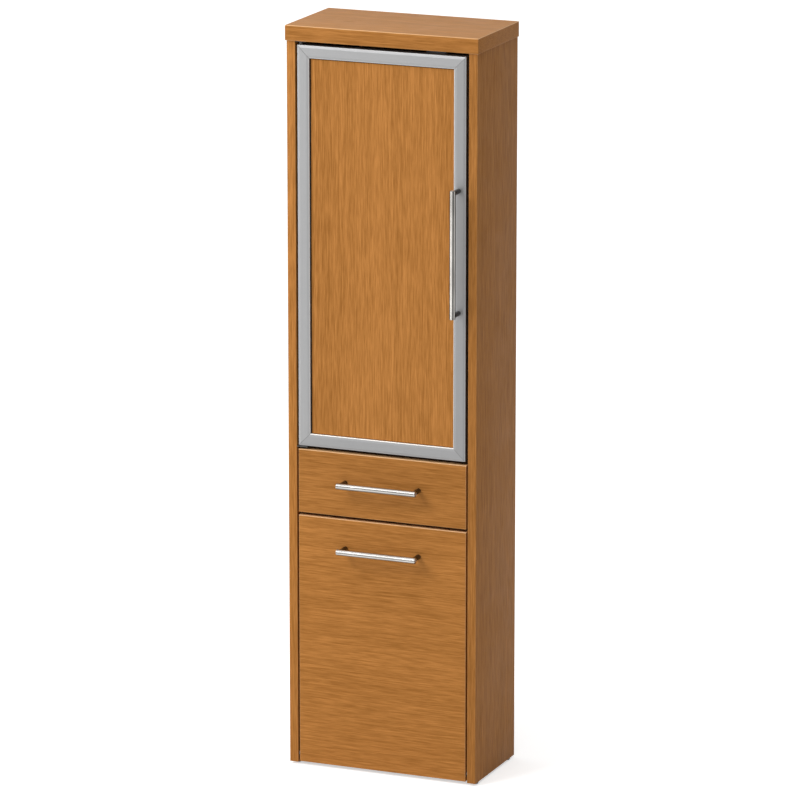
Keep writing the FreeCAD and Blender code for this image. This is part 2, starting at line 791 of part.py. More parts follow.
def frame_bar(name, length, x, z, rotation):
    """One bar of the hollow aluminium section, mitred at both ends.

    Its own X runs along the bar, its own Z from the door's outer edge inwards and its own Y
    from the front to the back.
    """
    body = new_body(name, x, "y_front", z, rotation)
    section = sketch(body, "YZ")
    slot_back = "lip_deep + slot_wide"
    outline(section, [
        ("bevel_deep", "0"), ("0", "bevel_wide"), ("0", "frame_wide - lip_slope_wide"),
        ("lip_slope_deep", "frame_wide"), ("lip_deep", "frame_wide"), ("lip_deep", "slot_floor"),
        (slot_back, "slot_floor"), (slot_back, "frame_wide"), (slot_back + " + rear_lip", "frame_wide"),
        (slot_back + " + rear_lip", "slot_floor"), ("door_thick", "slot_floor"), ("door_thick", "0")])
    rectangle(section, "frame_wall", "frame_wall", "door_thick - frame_wall", "slot_floor - frame_wall")
    pad(body, section, length)
    mitres = sketch(body, "XZ")
    outline(mitres, [("0", "0"), ("frame_wide", "frame_wide"), ("0", "frame_wide")])
    outline(mitres, [(length, "0"), (length, "frame_wide"), (f"{length} - frame_wide", "frame_wide")])
    pocket(body, mitres, "door_thick")
    return keep(body)


def door_frame():
    bush_hole = "bush_dia/2 + pivot_slack"
    low = frame_bar("door_rail_bottom", "door_wide", "door_left", "door_bottom", UPRIGHT)
    drill(low, "XY", "0", [("hinge_in", "hinge_deep")], bush_hole, "frame_wall", True)
    top = frame_bar("door_rail_top", "door_wide", "door_right", "door_top",
                    FreeCAD.Rotation(Y_AXIS, 180))
    drill(top, "XY", "0", [("door_wide - hinge_in", "hinge_deep")], bush_hole, "frame_wall", True)
    frame_bar("door_stile_hinge", "door_tall", "door_left", "door_top", Z_TO_X)
    free = frame_bar("door_stile_handle", "door_tall", "door_right", "door_bottom", Z_TO_MINUS_X)
    drill(free, "XZ", "0",
          [(f"tall_bar_up {side} tall_post_pitch/2", "tall_bar_in") for side in "-+"],
          "handle_screw_dia/2 + screw_play", "door_thick")


def corner_keys():
    """Cast angle keys inside the mitred corners; one bore in each takes a pivot bush."""
    inset = "(frame_wall + key_slack)"
    inner = "(slot_floor - frame_wall - key_slack)"
    body = new_body("corner_key", "door_left", "y_front", "door_bottom")
    angle = sketch(body, "XZ", f"-{inset}")
    outline(angle, [(inset, inset), ("key_leg", inset), ("key_leg", inner), (inner, inner),
                    (inner, "key_leg"), (inset, "key_leg")])
    pad(body, angle, f"door_thick - 2*{inset}", True)
    drill(body, "XY", inset, [("hinge_in", "hinge_deep")], "bush_dia/2 + pivot_slack",
          "bush_long", True)
    top = mirror("corner_key_top", body, Z_AXIS, "0", "(door_bottom + door_top)/2")
    middle = "(door_left + door_right)/2"
    group("door_corner_keys", [body, top, mirror("corner_key_free", body, X_AXIS, middle),
                               mirror("corner_key_top_free", top, X_AXIS, middle)])


def door_infill():
    """The thin veneered panel in the frame's slot and the soft seal in front of it."""
    edge = "(frame_wide - infill_in)"
    plain_board("door_panel", f"door_left + {edge}",
                "y_front + lip_deep + slot_wide - slot_play - infill_thick",
                f"door_bottom + {edge}", f"door_wide - 2*{edge}", "infill_thick",
                f"door_tall - 2*{edge}")
    body = new_body("door_seal", "door_left", "y_front", "door_bottom")
    ring = sketch(body, "XZ", "-(lip_deep + slot_play)")
    outer = "(frame_wide - seal_wide)"
    rectangle(ring, outer, outer, f"door_wide - {outer}", f"door_tall - {outer}")
    rectangle(ring, "frame_wide", "frame_wide", "door_wide - frame_wide", "door_tall - frame_wide")
    pad(body, ring, "slot_wide - infill_thick - 3*slot_play", True)
    keep(body)


# ---------------------------------------------------------------- handles

def handle(prefix, x, z, upright, length, pitch, thick):
    """A round bar on two posts, each held by a screw from inside the front."""
    bar = new_body(prefix + "_handle_bar",
                   x if upright else f"{x} - {length}/2", "y_front - bar_out",
                   f"{z} - {length}/2" if upright else z, UPRIGHT if upright else Z_TO_X)
    round_end = sketch(bar, "XY")
    circle(round_end, "0", "0", "bar_dia/2")
    rod = pad(bar, round_end, length)
    dress(bar, "Chamfer", rod, lambda b: b.ZLength < SMALL, "bar_chamfer")
    keep(bar)

    saddle = cylinder(prefix + "_saddle", "bar_dia/2 + post_saddle_slack", "2*post_dia", "-post_dia", "0",
                      "bar_out", Z_TO_X)
    thread = cylinder(prefix + "_thread", "handle_screw_dia/2 + thread_slack", "post_bore_deep")
    stem = cylinder(prefix + "_stem", "post_dia/2", "bar_out")
    post = cut(prefix + "_post", stem, fuse(prefix + "_post_tools", [saddle, thread]))
    screw = fuse(prefix + "_screw", [
        cylinder(prefix + "_shank", "handle_screw_dia/2", f"{thick} + handle_screw_in", "0", "0",
                 f"-{thick}"),
        cylinder(prefix + "_head", "handle_head_dia/2", "handle_head", "0", "0",
                 f"-{thick} - handle_head")])
    outward = turn((0, 0, 1), (-1, 0, 0), (0, -1, 0)) if upright else Z_TO_FRONT
    spots = []
    for side in "-+":
        along = f"{side} {pitch}/2"
        spots.append((x, "y_front", f"{z} {along}", outward) if upright
                     else (f"{x} {along}", "y_front", z, outward))
    copies(prefix + "_handle_posts", post, spots)
    copies(prefix + "_handle_screws", screw, spots)


def wood_front(name, low, tall, bar_down):
    """A board front with eased edges and two holes for its handle."""
    body = new_body(name, "front_left", "y_front", low)
    plan = sketch(body, "XY")
    rectangle(plan, "0", "0", "front_wide", "front_thick")
    blank = pad(body, plan, tall)
    dress(body, "Fillet", blank, lambda b: b.YMax < SMALL, "edge_round")
    drill(body, "XZ", "0",
          [(f"front_wide/2 {side} short_post_pitch/2", f"{tall} - {bar_down}") for side in "-+"],
          "handle_screw_dia/2 + screw_play", "front_thick")
    return keep(body)


# ---------------------------------------------------------------- drawer

def drawer_box():
    """The drawer's front, sides, back and floor."""
    front = wood_front("drawer_front", "drawer_bottom", "drawer_tall", "drawer_bar_down")
    groove = sketch(front, "XZ", "-front_thick")
    half = "(drawer_inner + drawer_groove)"
    rectangle(groove, f"front_wide/2 - {half}", "drawer_floor_low - drawer_groove_play - drawer_bottom",
              f"front_wide/2 + {half}", "drawer_floor_top + drawer_groove_play - drawer_bottom")
    pocket(front, groove, "drawer_groove", True)

    side = new_body("drawer_side_left", "-x_inner + runner_space", "front_rear", "drawer_side_low")
    section = sketch(side, "XZ")
    face = "drawer_side_thick"
    floor = "drawer_side_thick - drawer_groove"
    low = "drawer_floor_up - drawer_groove_play"
    high = "drawer_floor_up + drawer_floor_thick + drawer_groove_play"
    outline(section, [("0", "0"), (face, "0"), (face, low), (floor, low), (floor, high), (face, high),
                      (face, "drawer_side_tall"), ("0", "drawer_side_tall")])
    pad(side, section, "drawer_box_long", True)
    keep(side)
    keep(mirror("drawer_side_right", side))

    rear = "front_rear + drawer_box_long - drawer_side_thick"
    plain_board("drawer_back", "-drawer_inner", rear, "drawer_floor_top", "2*drawer_inner",
                "drawer_side_thick", "drawer_side_low + drawer_side_tall - drawer_floor_top")
    reach = "(drawer_groove - drawer_groove_play)"
    plain_board("drawer_floor", f"-drawer_inner - {reach}", f"front_rear - {reach}",
                "drawer_floor_low", f"2*drawer_inner + 2*{reach}", f"drawer_box_long + {reach}",
                "drawer_floor_thick")


def runners():
    """Roller runners: a channel on each side panel, a rail under each drawer side, four rollers."""
    channel = new_body("runner_left", "-x_inner", "runner_front", "runner_z")
    section = sketch(channel, "XZ")
    sheet_in = "runner_sheet"
    under = "runner_tall - runner_sheet"
    outline(section, [("0", "0"), ("runner_flange_low", "0"), ("runner_flange_low", sheet_in),
                      (sheet_in, sheet_in), (sheet_in, under), ("runner_flange_top", under),
                      ("runner_flange_top", "runner_tall"), ("0", "runner_tall")])
    pad(channel, section, "runner_long", True)
    stub_long = "roller_side_gap + roller_wide + roller_rivet_gap"
    rivet(channel, sheet_in, "roller_front_y - runner_front", "roller_front_z - runner_z", stub_long, False)
    keep(channel)
    keep(mirror("runner_right", channel))

    rail = new_body("drawer_rail_left", "-x_inner", "runner_front", "runner_z")
    section = sketch(rail, "XZ")
    web = "(runner_space - runner_sheet)"
    under = "drawer_rail_top - runner_sheet"
    lip = "drawer_rail_low + runner_sheet"
    outline(section, [("runner_space - drawer_rail_flange", under), (web, under), (web, "drawer_rail_low"),
                      (f"{web} + drawer_rail_lip", "drawer_rail_low"), (f"{web} + drawer_rail_lip", lip),
                      ("runner_space", lip), ("runner_space", "drawer_rail_top"),
                      ("runner_space - drawer_rail_flange", "drawer_rail_top")])
    pad(rail, section, "runner_long", True)
    rivet(rail, web, "roller_rear_y - runner_front", "roller_rear_z - runner_z", stub_long, True)
    keep(rail)
    keep(mirror("drawer_rail_right", rail))

    front_x = "-x_inner + runner_sheet + roller_side_gap"
    rear_x = "-x_inner + runner_space - runner_sheet - roller_side_gap - roller_wide"
    for name, x, y, z in (("roller_front", front_x, "roller_front_y", "roller_front_z"),
                          ("roller_rear", rear_x, "roller_rear_y", "roller_rear_z")):
        wheel = cylinder(name + "_wheel", "roller_radius", "roller_wide", x, y, z, Z_TO_X)
        bore = cylinder(name + "_bore", "rivet_dia/2 + roller_bore_slack", "roller_wide", x, y, z, Z_TO_X)
        left = keep(cut(name + "_left", wheel, bore))
        keep(mirror(name + "_right", left))


def rivet(body, face, along, up, stub_long, backwards):
    """A rivet on a sheet: a stub for the roller to turn on, and a head that keeps it there."""
    stub = sketch(body, "YZ", face)
    circle(stub, along, up, "rivet_dia/2")
    pad(body, stub, f"{stub_long} + rivet_head", backwards)
    head = sketch(body, "YZ", f"{face} - ({stub_long})" if backwards else f"{face} + {stub_long}")
    circle(head, along, up, "rivet_head_dia/2")
    pad(body, head, "rivet_head", backwards)


# ---------------------------------------------------------------- laundry flap

def flap_board():
    flap = wood_front("flap_front", "flap_bottom", "flap_tall", "flap_bar_down")
    spot = [("front_thick/2", "flap_pivot_up")]
    bore = "flap_bush_dia/2 + thread_slack"
    drill(flap, "YZ", "0", spot, bore, "flap_bush_long", True)
    drill(flap, "YZ", "front_wide", spot, bore, "flap_bush_long")
    drill(flap, "XZ", "-front_thick",
          [(f"{x} - front_left", f"{z} - flap_bottom") for x, z in inside_screws()],
          "handle_screw_dia/2 + thread_slack", "handle_screw_in", True)


def inside_screws():
    """Where screws go into the back of the flap: through the arms' feet and the bin's wall."""
    foot = "(x_inner - stop_away - arm_foot_wide/2)"
    spots = []
    for sign in ("-", ""):
        for part in ("arm_foot_tall/4", "3*arm_foot_tall/4"):
            spots.append((sign + foot, f"flap_pivot_z + arm_foot_low + {part}"))
        for z in ("bin_low + bin_screw_end", "bin_low + bin_tall - bin_screw_end"):
            spots.append((sign + "bin_screw_x", z))
    return spots


def flap_pivots():
    """Pins in the side panels, and flanged bushes in the flap's edges that turn on them."""
    solid = fuse("flap_bush_solid", [
        cylinder("flap_bush_barrel", "flap_bush_dia/2", "flap_bush_long"),
        cylinder("flap_bush_collar", "flap_bush_flange_dia/2", "flap_bush_flange", "0", "0",
                 "-flap_bush_flange")])
    bore = cylinder("flap_bush_bore", "flap_pivot_dia/2 + pivot_slack", "flap_bush_long + flap_bush_flange",
                    "0", "0", "-flap_bush_flange")
    bush = cut("flap_bush", solid, bore)
    copies("flap_bushes", bush, [("front_left", "flap_pivot_y", "flap_pivot_z", Z_TO_X),
                                 ("-front_left", "flap_pivot_y", "flap_pivot_z", Z_TO_MINUS_X)])
    pin = cylinder("flap_pin", "flap_pivot_dia/2", "flap_pivot_hold + front_gap_side + flap_pivot_in")
    copies("flap_pivot_pins", pin, [
        ("-x_inner - flap_pivot_hold", "flap_pivot_y", "flap_pivot_z", Z_TO_X),
        ("x_inner + flap_pivot_hold", "flap_pivot_y", "flap_pivot_z", Z_TO_MINUS_X)])

    step = "stop_away - stop_air"
    pin = fuse("stop_pin", [
        cylinder("stop_stem", "stop_pin_dia/2", "stop_pin_hole + stop_away + arm_thick + stop_air", "0", "0",
                 "-stop_pin_hole"),
        cylinder("stop_collar", "stop_collar_dia/2", step),
        cylinder("stop_cap", "stop_head_dia/2", "stop_head", "0", "0", "stop_away + arm_thick + stop_air")])
    copies("flap_stop_pins", pin, [("-x_inner", "stop_y", "stop_z", Z_TO_X),
                                   ("x_inner", "stop_y", "stop_z", Z_TO_MINUS_X)])


def stop_arms():
    """Plates on the flap with a curved slot round the pivot; a fixed pin ends the tilt at both ends.

    Each is drawn round the pivot with its own X to the back, Y up and Z across the cabinet.
    """
    low_angle = "90 - stop_start_angle - flap_open_angle"
    rotation = FreeCAD.Rotation(FreeCAD.Vector(1, 1, 1), 120)

    def sector(name, radius, start, sweep):
        part = cylinder(name, radius, "arm_thick", sweep=sweep)
        part.setExpression("Placement.Rotation.Angle", bind(start))
        return part

    def band(name, half, start, sweep):
        outer = sector(name + "_outer", f"stop_reach + {half}", start, sweep)
        inner = sector(name + "_inner", f"stop_reach - {half}", start, sweep)
        return cut(name, outer, inner)

    slot_half = "(stop_pin_dia/2 + stop_slot_slack)"
    slot = [band("arm_slot", slot_half, low_angle, "flap_open_angle")]
    for index, angle in enumerate((f"({low_angle})", f"({low_angle} + flap_open_angle)")):
        slot.append(cylinder(f"arm_slot_end_{index}", slot_half, "arm_thick",
                             f"stop_reach*cos{angle}", f"stop_reach*sin{angle}"))
    plate = band("arm_band", "stop_band/2", f"{low_angle} - stop_margin_angle",
                 "flap_open_angle + 2*stop_margin_angle")
    web = box("arm_web", "arm_web_long", "arm_foot_tall - stop_band/2", "arm_thick", "front_thick/2",
              "arm_foot_low + stop_band/4", "0")
    foot_plate = box("arm_foot_plate", "arm_thick", "arm_foot_tall", "arm_foot_wide", "front_thick/2",
                     "arm_foot_low")
    foot = cut("arm_foot", foot_plate, fuse("arm_foot_holes", [
        cylinder(f"arm_foot_hole_{index}", "handle_screw_dia/2 + screw_play", "arm_thick", "front_thick/2",
                 f"arm_foot_low + {up}", "arm_foot_wide/2", Z_TO_X)
        for index, up in enumerate(("arm_foot_tall/4", "3*arm_foot_tall/4"))]))
    cut_plate = cut("arm_plate", fuse("arm_blank", [plate, web]), fuse("arm_slot_tool", slot))
    arm = fuse("flap_stop_arm_left", [cut_plate, foot])
    arm.Label = "flap_stop_arm_left"
    place(arm, "-x_inner + stop_away", "flap_pivot_y", "flap_pivot_z", rotation)
    keep(arm)
    keep(mirror("flap_stop_arm_right", arm))


def bin_form(body, wall, floor, corner):
    """The bin's drafted form, drawn in by a wall; its back and sides lean out towards the top."""
    wedge = body.newObject("PartDesign::AdditiveWedge", body.Name + "_form")
    for side, formula in (
            ("Xmin", f"-bin_wide_low/2 + {wall}"), ("Xmax", f"bin_wide_low/2 - {wall}"),
            ("Zmin", f"-bin_deep_low + {wall}"), ("Zmax", f"-{wall}"),
            ("X2min", f"-bin_wide_top/2 + {wall}"), ("X2max", f"bin_wide_top/2 - {wall}"),
            ("Z2min", f"-bin_deep_top + {wall}"), ("Z2max", f"-{wall}"),
            ("Ymin", floor), ("Ymax", "bin_tall")):
        wedge.setExpression(side, bind(formula))
    doc.recompute()
    tall = value(f"bin_tall - {floor}")
    dress(body, "Fillet", wedge, lambda b: b.YLength > tall - SMALL, corner)


def hamper_bin():
    """The moulded laundry bin: drafted walls, round corners, an open rim and rows of air slots.

    Its own X runs across, its own Y up and its own Z from the back wall to the flap.
    """
    body = new_body("hamper_bin", "0", "front_rear", "bin_low", Z_TO_FRONT)
    bin_form(body, "0", "0", "bin_round")
    rim = sketch(body, "XZ", "-(bin_tall - bin_wall)")
    rectangle(rim, "-bin_wide_top/2 - bin_rim", "-bin_deep_top - bin_rim",
              "bin_wide_top/2 + bin_rim", "0")
    flange = pad(body, rim, "bin_wall", True)
    reach = value("bin_wide_top/2 + bin_rim")
    rear = value("-bin_deep_top - bin_rim")
    dress(body, "Fillet", flange,
          lambda b: b.XLength < SMALL < b.YLength and abs(abs(b.XMin) - reach) < SMALL
          and abs(b.ZMin - rear) < SMALL, "bin_round + bin_rim")
    hollow = new_body("bin_hollow")
    bin_form(hollow, "bin_wall", "bin_wall", "bin_round - bin_wall")
    carve = body.newObject("PartDesign::Boolean", "bin_carved")
    carve.Type = "Cut"
    carve.Group = [hollow]
    doc.recompute()

    spots = [(f"{sign}bin_screw_x", z) for sign in ("-", "")
             for z in ("bin_screw_end", "bin_tall - bin_screw_end")]
    drill(body, "XY", "0", spots, "handle_screw_dia/2 + screw_play", "bin_wall")

    for plane, offset, count, depth, along in (
            ("XY", "0", "air_back_count", "bin_deep_top", "V_Axis"),
            ("YZ", "bin_wide_top/2", "air_side_count", "bin_wide_top", "H_Axis")):
        drawing = sketch(body, plane, offset)
        for index in range(int(value(count))):
            across = f"({index} - ({count} - 1)/2)*air_slot_pitch"
            if plane == "XY":
                rectangle(drawing, f"{across} - air_slot_wide/2", "air_first_up",
                          f"{across} + air_slot_wide/2", "air_first_up + air_slot_tall")
            else:
                across = f"-bin_deep_low/2 + {across}"
                rectangle(drawing, "air_first_up", f"{across} - air_slot_wide/2",
                          "air_first_up + air_slot_tall", f"{across} + air_slot_wide/2")
        first = pocket(body, drawing, depth)
        row_of(body, first, drawing, along, "air_rows_tall", "air_row_count")
    keep(body)

    screw = fuse("inside_screw", [
        cylinder("inside_shank", "handle_screw_dia/2", "handle_screw_in + bin_wall - thread_slack"),
        cylinder("inside_head", "handle_head_dia/2", "handle_head", "0", "0", "-handle_head")])
    copies("flap_screws", screw, [(x, "front_rear + bin_wall", z, Z_TO_FRONT) for x, z in inside_screws()])


# ---------------------------------------------------------------- build, check and write

def build():
    side_panels()
    top_cover()
    inner_boards()
    back_and_rail()
    shelves()
    cam_joints()
    floor_glides()
    door_pivots()
    door_catches()
    door_frame()
    corner_keys()
    door_infill()
    handle("door", "tall_bar_x", "tall_bar_z", True, "tall_bar_long", "tall_post_pitch", "door_thick")
    drawer_box()
    handle("drawer", "0", "drawer_bar_z", False, "short_bar_long", "short_post_pitch", "front_thick")
    runners()
    flap_board()
    handle("flap", "0", "flap_bar_z", False, "short_bar_long", "short_post_pitch", "front_thick")
    flap_pivots()
    stop_arms()
    hamper_bin()
    doc.recompute()


def check():
    """Stop if any object failed or any sub-part is empty or broken."""
    for thing in doc.Objects:
        if {"Invalid", "Error"} & set(thing.State):
            raise RuntimeError(f"{thing.Label} failed: {thing.State}")
    for node in NODES:
        if node.Shape.isNull() or not node.Shape.isValid() or not node.Shape.Solids:
            raise RuntimeError(f"{node.Label} has no sound shape")


build()
check()
os.makedirs("parts", exist_ok=True)
for node in NODES:
    node.Shape.exportStep(f"parts/{node.Label}.step")
print(len(NODES), "sub-parts,", sum(len(node.Shape.Solids) for node in NODES), "solids")
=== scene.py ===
"""Looks, light and camera of a tall, slim bathroom cabinet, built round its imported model.

Metres, +Z up, fronts towards -Y, origin on the floor in the middle of the footprint.
"""
import json
import logging
import math
from dataclasses import dataclass
from enum import Enum
from typing import Callable, Sequence

import bmesh
import bpy
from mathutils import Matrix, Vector

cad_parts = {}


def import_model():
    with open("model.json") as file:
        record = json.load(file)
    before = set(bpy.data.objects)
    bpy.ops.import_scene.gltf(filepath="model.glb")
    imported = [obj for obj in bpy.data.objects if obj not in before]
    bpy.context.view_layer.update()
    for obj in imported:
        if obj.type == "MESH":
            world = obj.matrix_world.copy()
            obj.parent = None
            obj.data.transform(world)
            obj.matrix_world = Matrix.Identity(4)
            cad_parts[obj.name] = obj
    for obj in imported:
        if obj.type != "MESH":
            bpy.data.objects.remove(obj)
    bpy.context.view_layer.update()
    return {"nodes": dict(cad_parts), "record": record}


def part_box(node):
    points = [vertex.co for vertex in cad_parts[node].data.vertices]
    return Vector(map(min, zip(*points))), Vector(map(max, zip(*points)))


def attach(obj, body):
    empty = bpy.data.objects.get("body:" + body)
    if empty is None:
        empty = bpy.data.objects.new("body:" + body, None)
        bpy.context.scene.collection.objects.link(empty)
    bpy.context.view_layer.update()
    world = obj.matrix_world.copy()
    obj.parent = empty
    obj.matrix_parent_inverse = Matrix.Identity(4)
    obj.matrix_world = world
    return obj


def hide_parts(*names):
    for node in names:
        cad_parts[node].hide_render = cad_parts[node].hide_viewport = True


LOG = logging.getLogger("tall_cabinet")
Colour = tuple[float, float, float]
Point = tuple[float, float, float]
Socket = bpy.types.NodeSocket
Node = bpy.types.Node
Piece = bpy.types.Object
Surface = bpy.types.Material
Edge = bmesh.types.BMEdge
TOUCH = 1e-5  # metres within which two places count as one
DOUBLE = 1e-6  # metres within which two corners are merged
FLAT_ANGLE = 0.4  # degrees: faces that differ less are one flat face
SHARP_ANGLE = 15.0  # degrees: edges sharper than this can be eased
CRISP_ANGLE = 25.0  # degrees: edges sharper than this stay crisp on an eased piece
SMOOTH_ANGLE = 35.0  # the same on the handle bars and the seal
FACING = 0.9  # faces whose normal goes this far along a way look that way
SQUARE_ON = 0.99  # the same, where rounded edges next to them are left out


class Run(Enum):
    """The way that grain or brushing runs, as an axis of the cabinet."""

    ACROSS = "X"
    DEEP = "Y"
    UP = "Z"

    @property
    def order(self) -> tuple[int, int, int]:
        """The three axes in an order that puts this one last."""
        return {"X": (2, 1, 0), "Y": (0, 2, 1), "Z": (0, 1, 2)}[self.value]


# ------------------------------------------------------------------ shader node helpers


def scaled(colour: Colour, factor: float) -> Colour:
    """A colour made darker or paler by a factor."""
    return tuple(channel * factor for channel in colour)


class Board:
    """A node tree with short calls that add nodes and join them."""

    column_width = 180

    def __init__(self, tree: bpy.types.NodeTree) -> None:
        """Keep the tree at hand."""
        self.tree = tree
        self.column = 0

    def add(self, kind: str, **inputs: object) -> Node:
        """Add a node and fill its sockets.

        Args:
            kind: The node's type name.
            **inputs: Socket names, with _ for a space, and a value or a socket to link from.

        Returns:
            The new node.
        """
        node = self.tree.nodes.new(kind)
        node.location = (self.column * self.column_width, 0)
        self.column += 1
        self.fill(node, **inputs)
        return node

    def feed(self, node: Node, socket: str | int, given: object) -> None:
        """Set a socket's value, or link another socket to it.

        Args:
            node: The node that is fed.
            socket: Name or number of its input.
            given: A value, or the output to link from.
        """
        if isinstance(given, Socket):
            self.tree.links.new(given, node.inputs[socket])
        else:
            node.inputs[socket].default_value = given

    def fill(self, node: Node, **inputs: object) -> None:
        """Feed several sockets, whose names have _ for a space."""
        for name, given in inputs.items():
            self.feed(node, name.replace("_", " "), given)

    def calc(self, operation: str, first: object, second: object = 0.0, clamp: bool = False) -> Socket:
        """Work out a value from two others.

        Args:
            operation: The Math node's operation.
            first: The first value or socket.
            second: The second value or socket.
            clamp: Whether the result is kept between 0 and 1.

        Returns:
            The result.
        """
        node = self.add("ShaderNodeMath")
        node.operation = operation
        node.use_clamp = clamp
        self.feed(node, 0, first)
        self.feed(node, 1, second)
        return node.outputs[0]

    def times(self, first: object, second: object) -> Socket:
        """One value times another."""
        return self.calc("MULTIPLY", first, second)

    def less(self, share: object) -> Socket:
        """What a share leaves of 1, never under 0."""
        return self.calc("SUBTRACT", 1.0, share, clamp=True)

    def total(self, start: object, *layers: tuple[Socket, float]) -> Socket:
        """Add layers to a value, each by its share.

        Args:
            start: The value or socket to start from.
            *layers: Each layer and its share.

        Returns:
            The sum.
        """
        for layer, share in layers:
            start = self.calc("ADD", start, self.times(layer, share))
        return start

    def vector(self, operation: str, first: object, second: object = (0.0, 0.0, 0.0)) -> Socket:
        """Work out a vector from two others.

        Args:
            operation: The Vector Math node's operation.
            first: The first vector or socket.
            second: The second vector or socket.

        Returns:
            The result.
        """
        node = self.add("ShaderNodeVectorMath")
        node.operation = operation
        self.feed(node, 0, first)
        self.feed(node, 1, second)
        return node.outputs[0]

    def split(self, vector: object) -> Sequence[Socket]:
        """The three parts of a vector."""
        return self.add("ShaderNodeSeparateXYZ", Vector=vector).outputs

    def combine(self, x: object, y: object, z: object = 0.0) -> Socket:
        """A vector of three parts."""
        return self.add("ShaderNodeCombineXYZ", X=x, Y=y, Z=z).outputs[0]

    def place(self) -> Socket:
        """The surface point in the piece's own coordinates."""
        return self.add("ShaderNodeTexCoord").outputs["Object"]

    def spread(self, given: object, low: float, high: float, to_low: float = 0.0,
               to_high: float = 1.0) -> Socket:
        """Stretch a range of values to another, without leaving it.

        Args:
            given: The value or socket.
            low: Where the range starts.
            high: Where it ends.
            to_low: What its start becomes.
            to_high: What its end becomes.

        Returns:
            The stretched value.
        """
        node = self.add("ShaderNodeMapRange")
        node.clamp = True
        for index, value in enumerate((given, low, high, to_low, to_high)):
            self.feed(node, index, value)
        return node.outputs[0]

    def blend(self, share: object, first: object, second: object) -> Socket:
        """Mix two colours.

        Args:
            share: How much of the second colour there is, a value or a socket.
            first: The first colour or socket.
            second: The second colour or socket.

        Returns:
            The mixed colour.
        """
        node = self.add("ShaderNodeMix")
        node.data_type = "RGBA"
        self.feed(node, 0, share)
        for index, given in ((6, first), (7, second)):
            self.feed(node, index, (*given, 1.0) if isinstance(given, tuple) else given)
        return node.outputs[2]


@dataclass(frozen=True)
class Noise:
    """A noise pattern: how fast it changes along each axis, how fine it is and the range in use."""

    pace: Point
    detail: float = 2.0
    roughness: float = 0.5
    low: float = 0.0
    high: float = 1.0
    share: float = 1.0
    distortion: float = 0.0

    def draw(self, board: Board, place: object) -> Socket:
        """Draw the pattern.

        Args:
            board: The board that it is drawn on.
            place: The surface point.

        Returns:
            Its plain value.
        """
        return board.add("ShaderNodeTexNoise", Vector=board.vector("MULTIPLY", place, self.pace), Scale=1.0,
                         Detail=self.detail, Roughness=self.roughness,
                         Distortion=self.distortion).outputs["Fac"]

    def mask(self, board: Board, place: object) -> Socket:
        """The value at a place, with the range in use spread from 0 to 1."""
        return board.spread(self.draw(board, place), self.low, self.high)


def even(pace: float) -> Point:
    """The same pace along all axes."""
    return pace, pace, pace


class Effect:
    """A shader node group with named sockets, built once and used by several materials."""

    title: str
    inputs: Sequence[tuple[str, str, object]]
    outputs: Sequence[tuple[str, str]]
    made: dict[str, bpy.types.NodeTree] = {}

    def draw(self, board: Board, given: Sequence[Socket]) -> dict[str, Socket]:
        """Draw the group's nodes on its board and return what it puts out."""
        raise NotImplementedError

    def make(self) -> bpy.types.NodeTree:
        """Build the group.

        Returns:
            Its node tree.
        """
        tree = bpy.data.node_groups.new(self.title, "ShaderNodeTree")
        for label, kind, start in self.inputs:
            socket = tree.interface.new_socket(label, in_out="INPUT", socket_type="NodeSocket" + kind)
            socket.default_value = start
        for label, kind in self.outputs:
            tree.interface.new_socket(label, in_out="OUTPUT", socket_type="NodeSocket" + kind)
        board = Board(tree)
        entry = board.add("NodeGroupInput")
        leave = board.add("NodeGroupOutput")
        board.fill(leave, **self.draw(board, entry.outputs))
        return tree

    @classmethod
    def use(cls, board: Board, **inputs: object) -> Sequence[Socket]:
        """Place the group in a material, building it the first time.

        Args:
            board: The material's board.
            **inputs: Values or sockets for the group's inputs.

        Returns:
            The group's outputs.
        """
        if cls.title not in Effect.made:
            Effect.made[cls.title] = cls().make()
        node = board.add("ShaderNodeGroup")
        node.node_tree = Effect.made[cls.title]
        board.fill(node, **inputs)
        return node.outputs


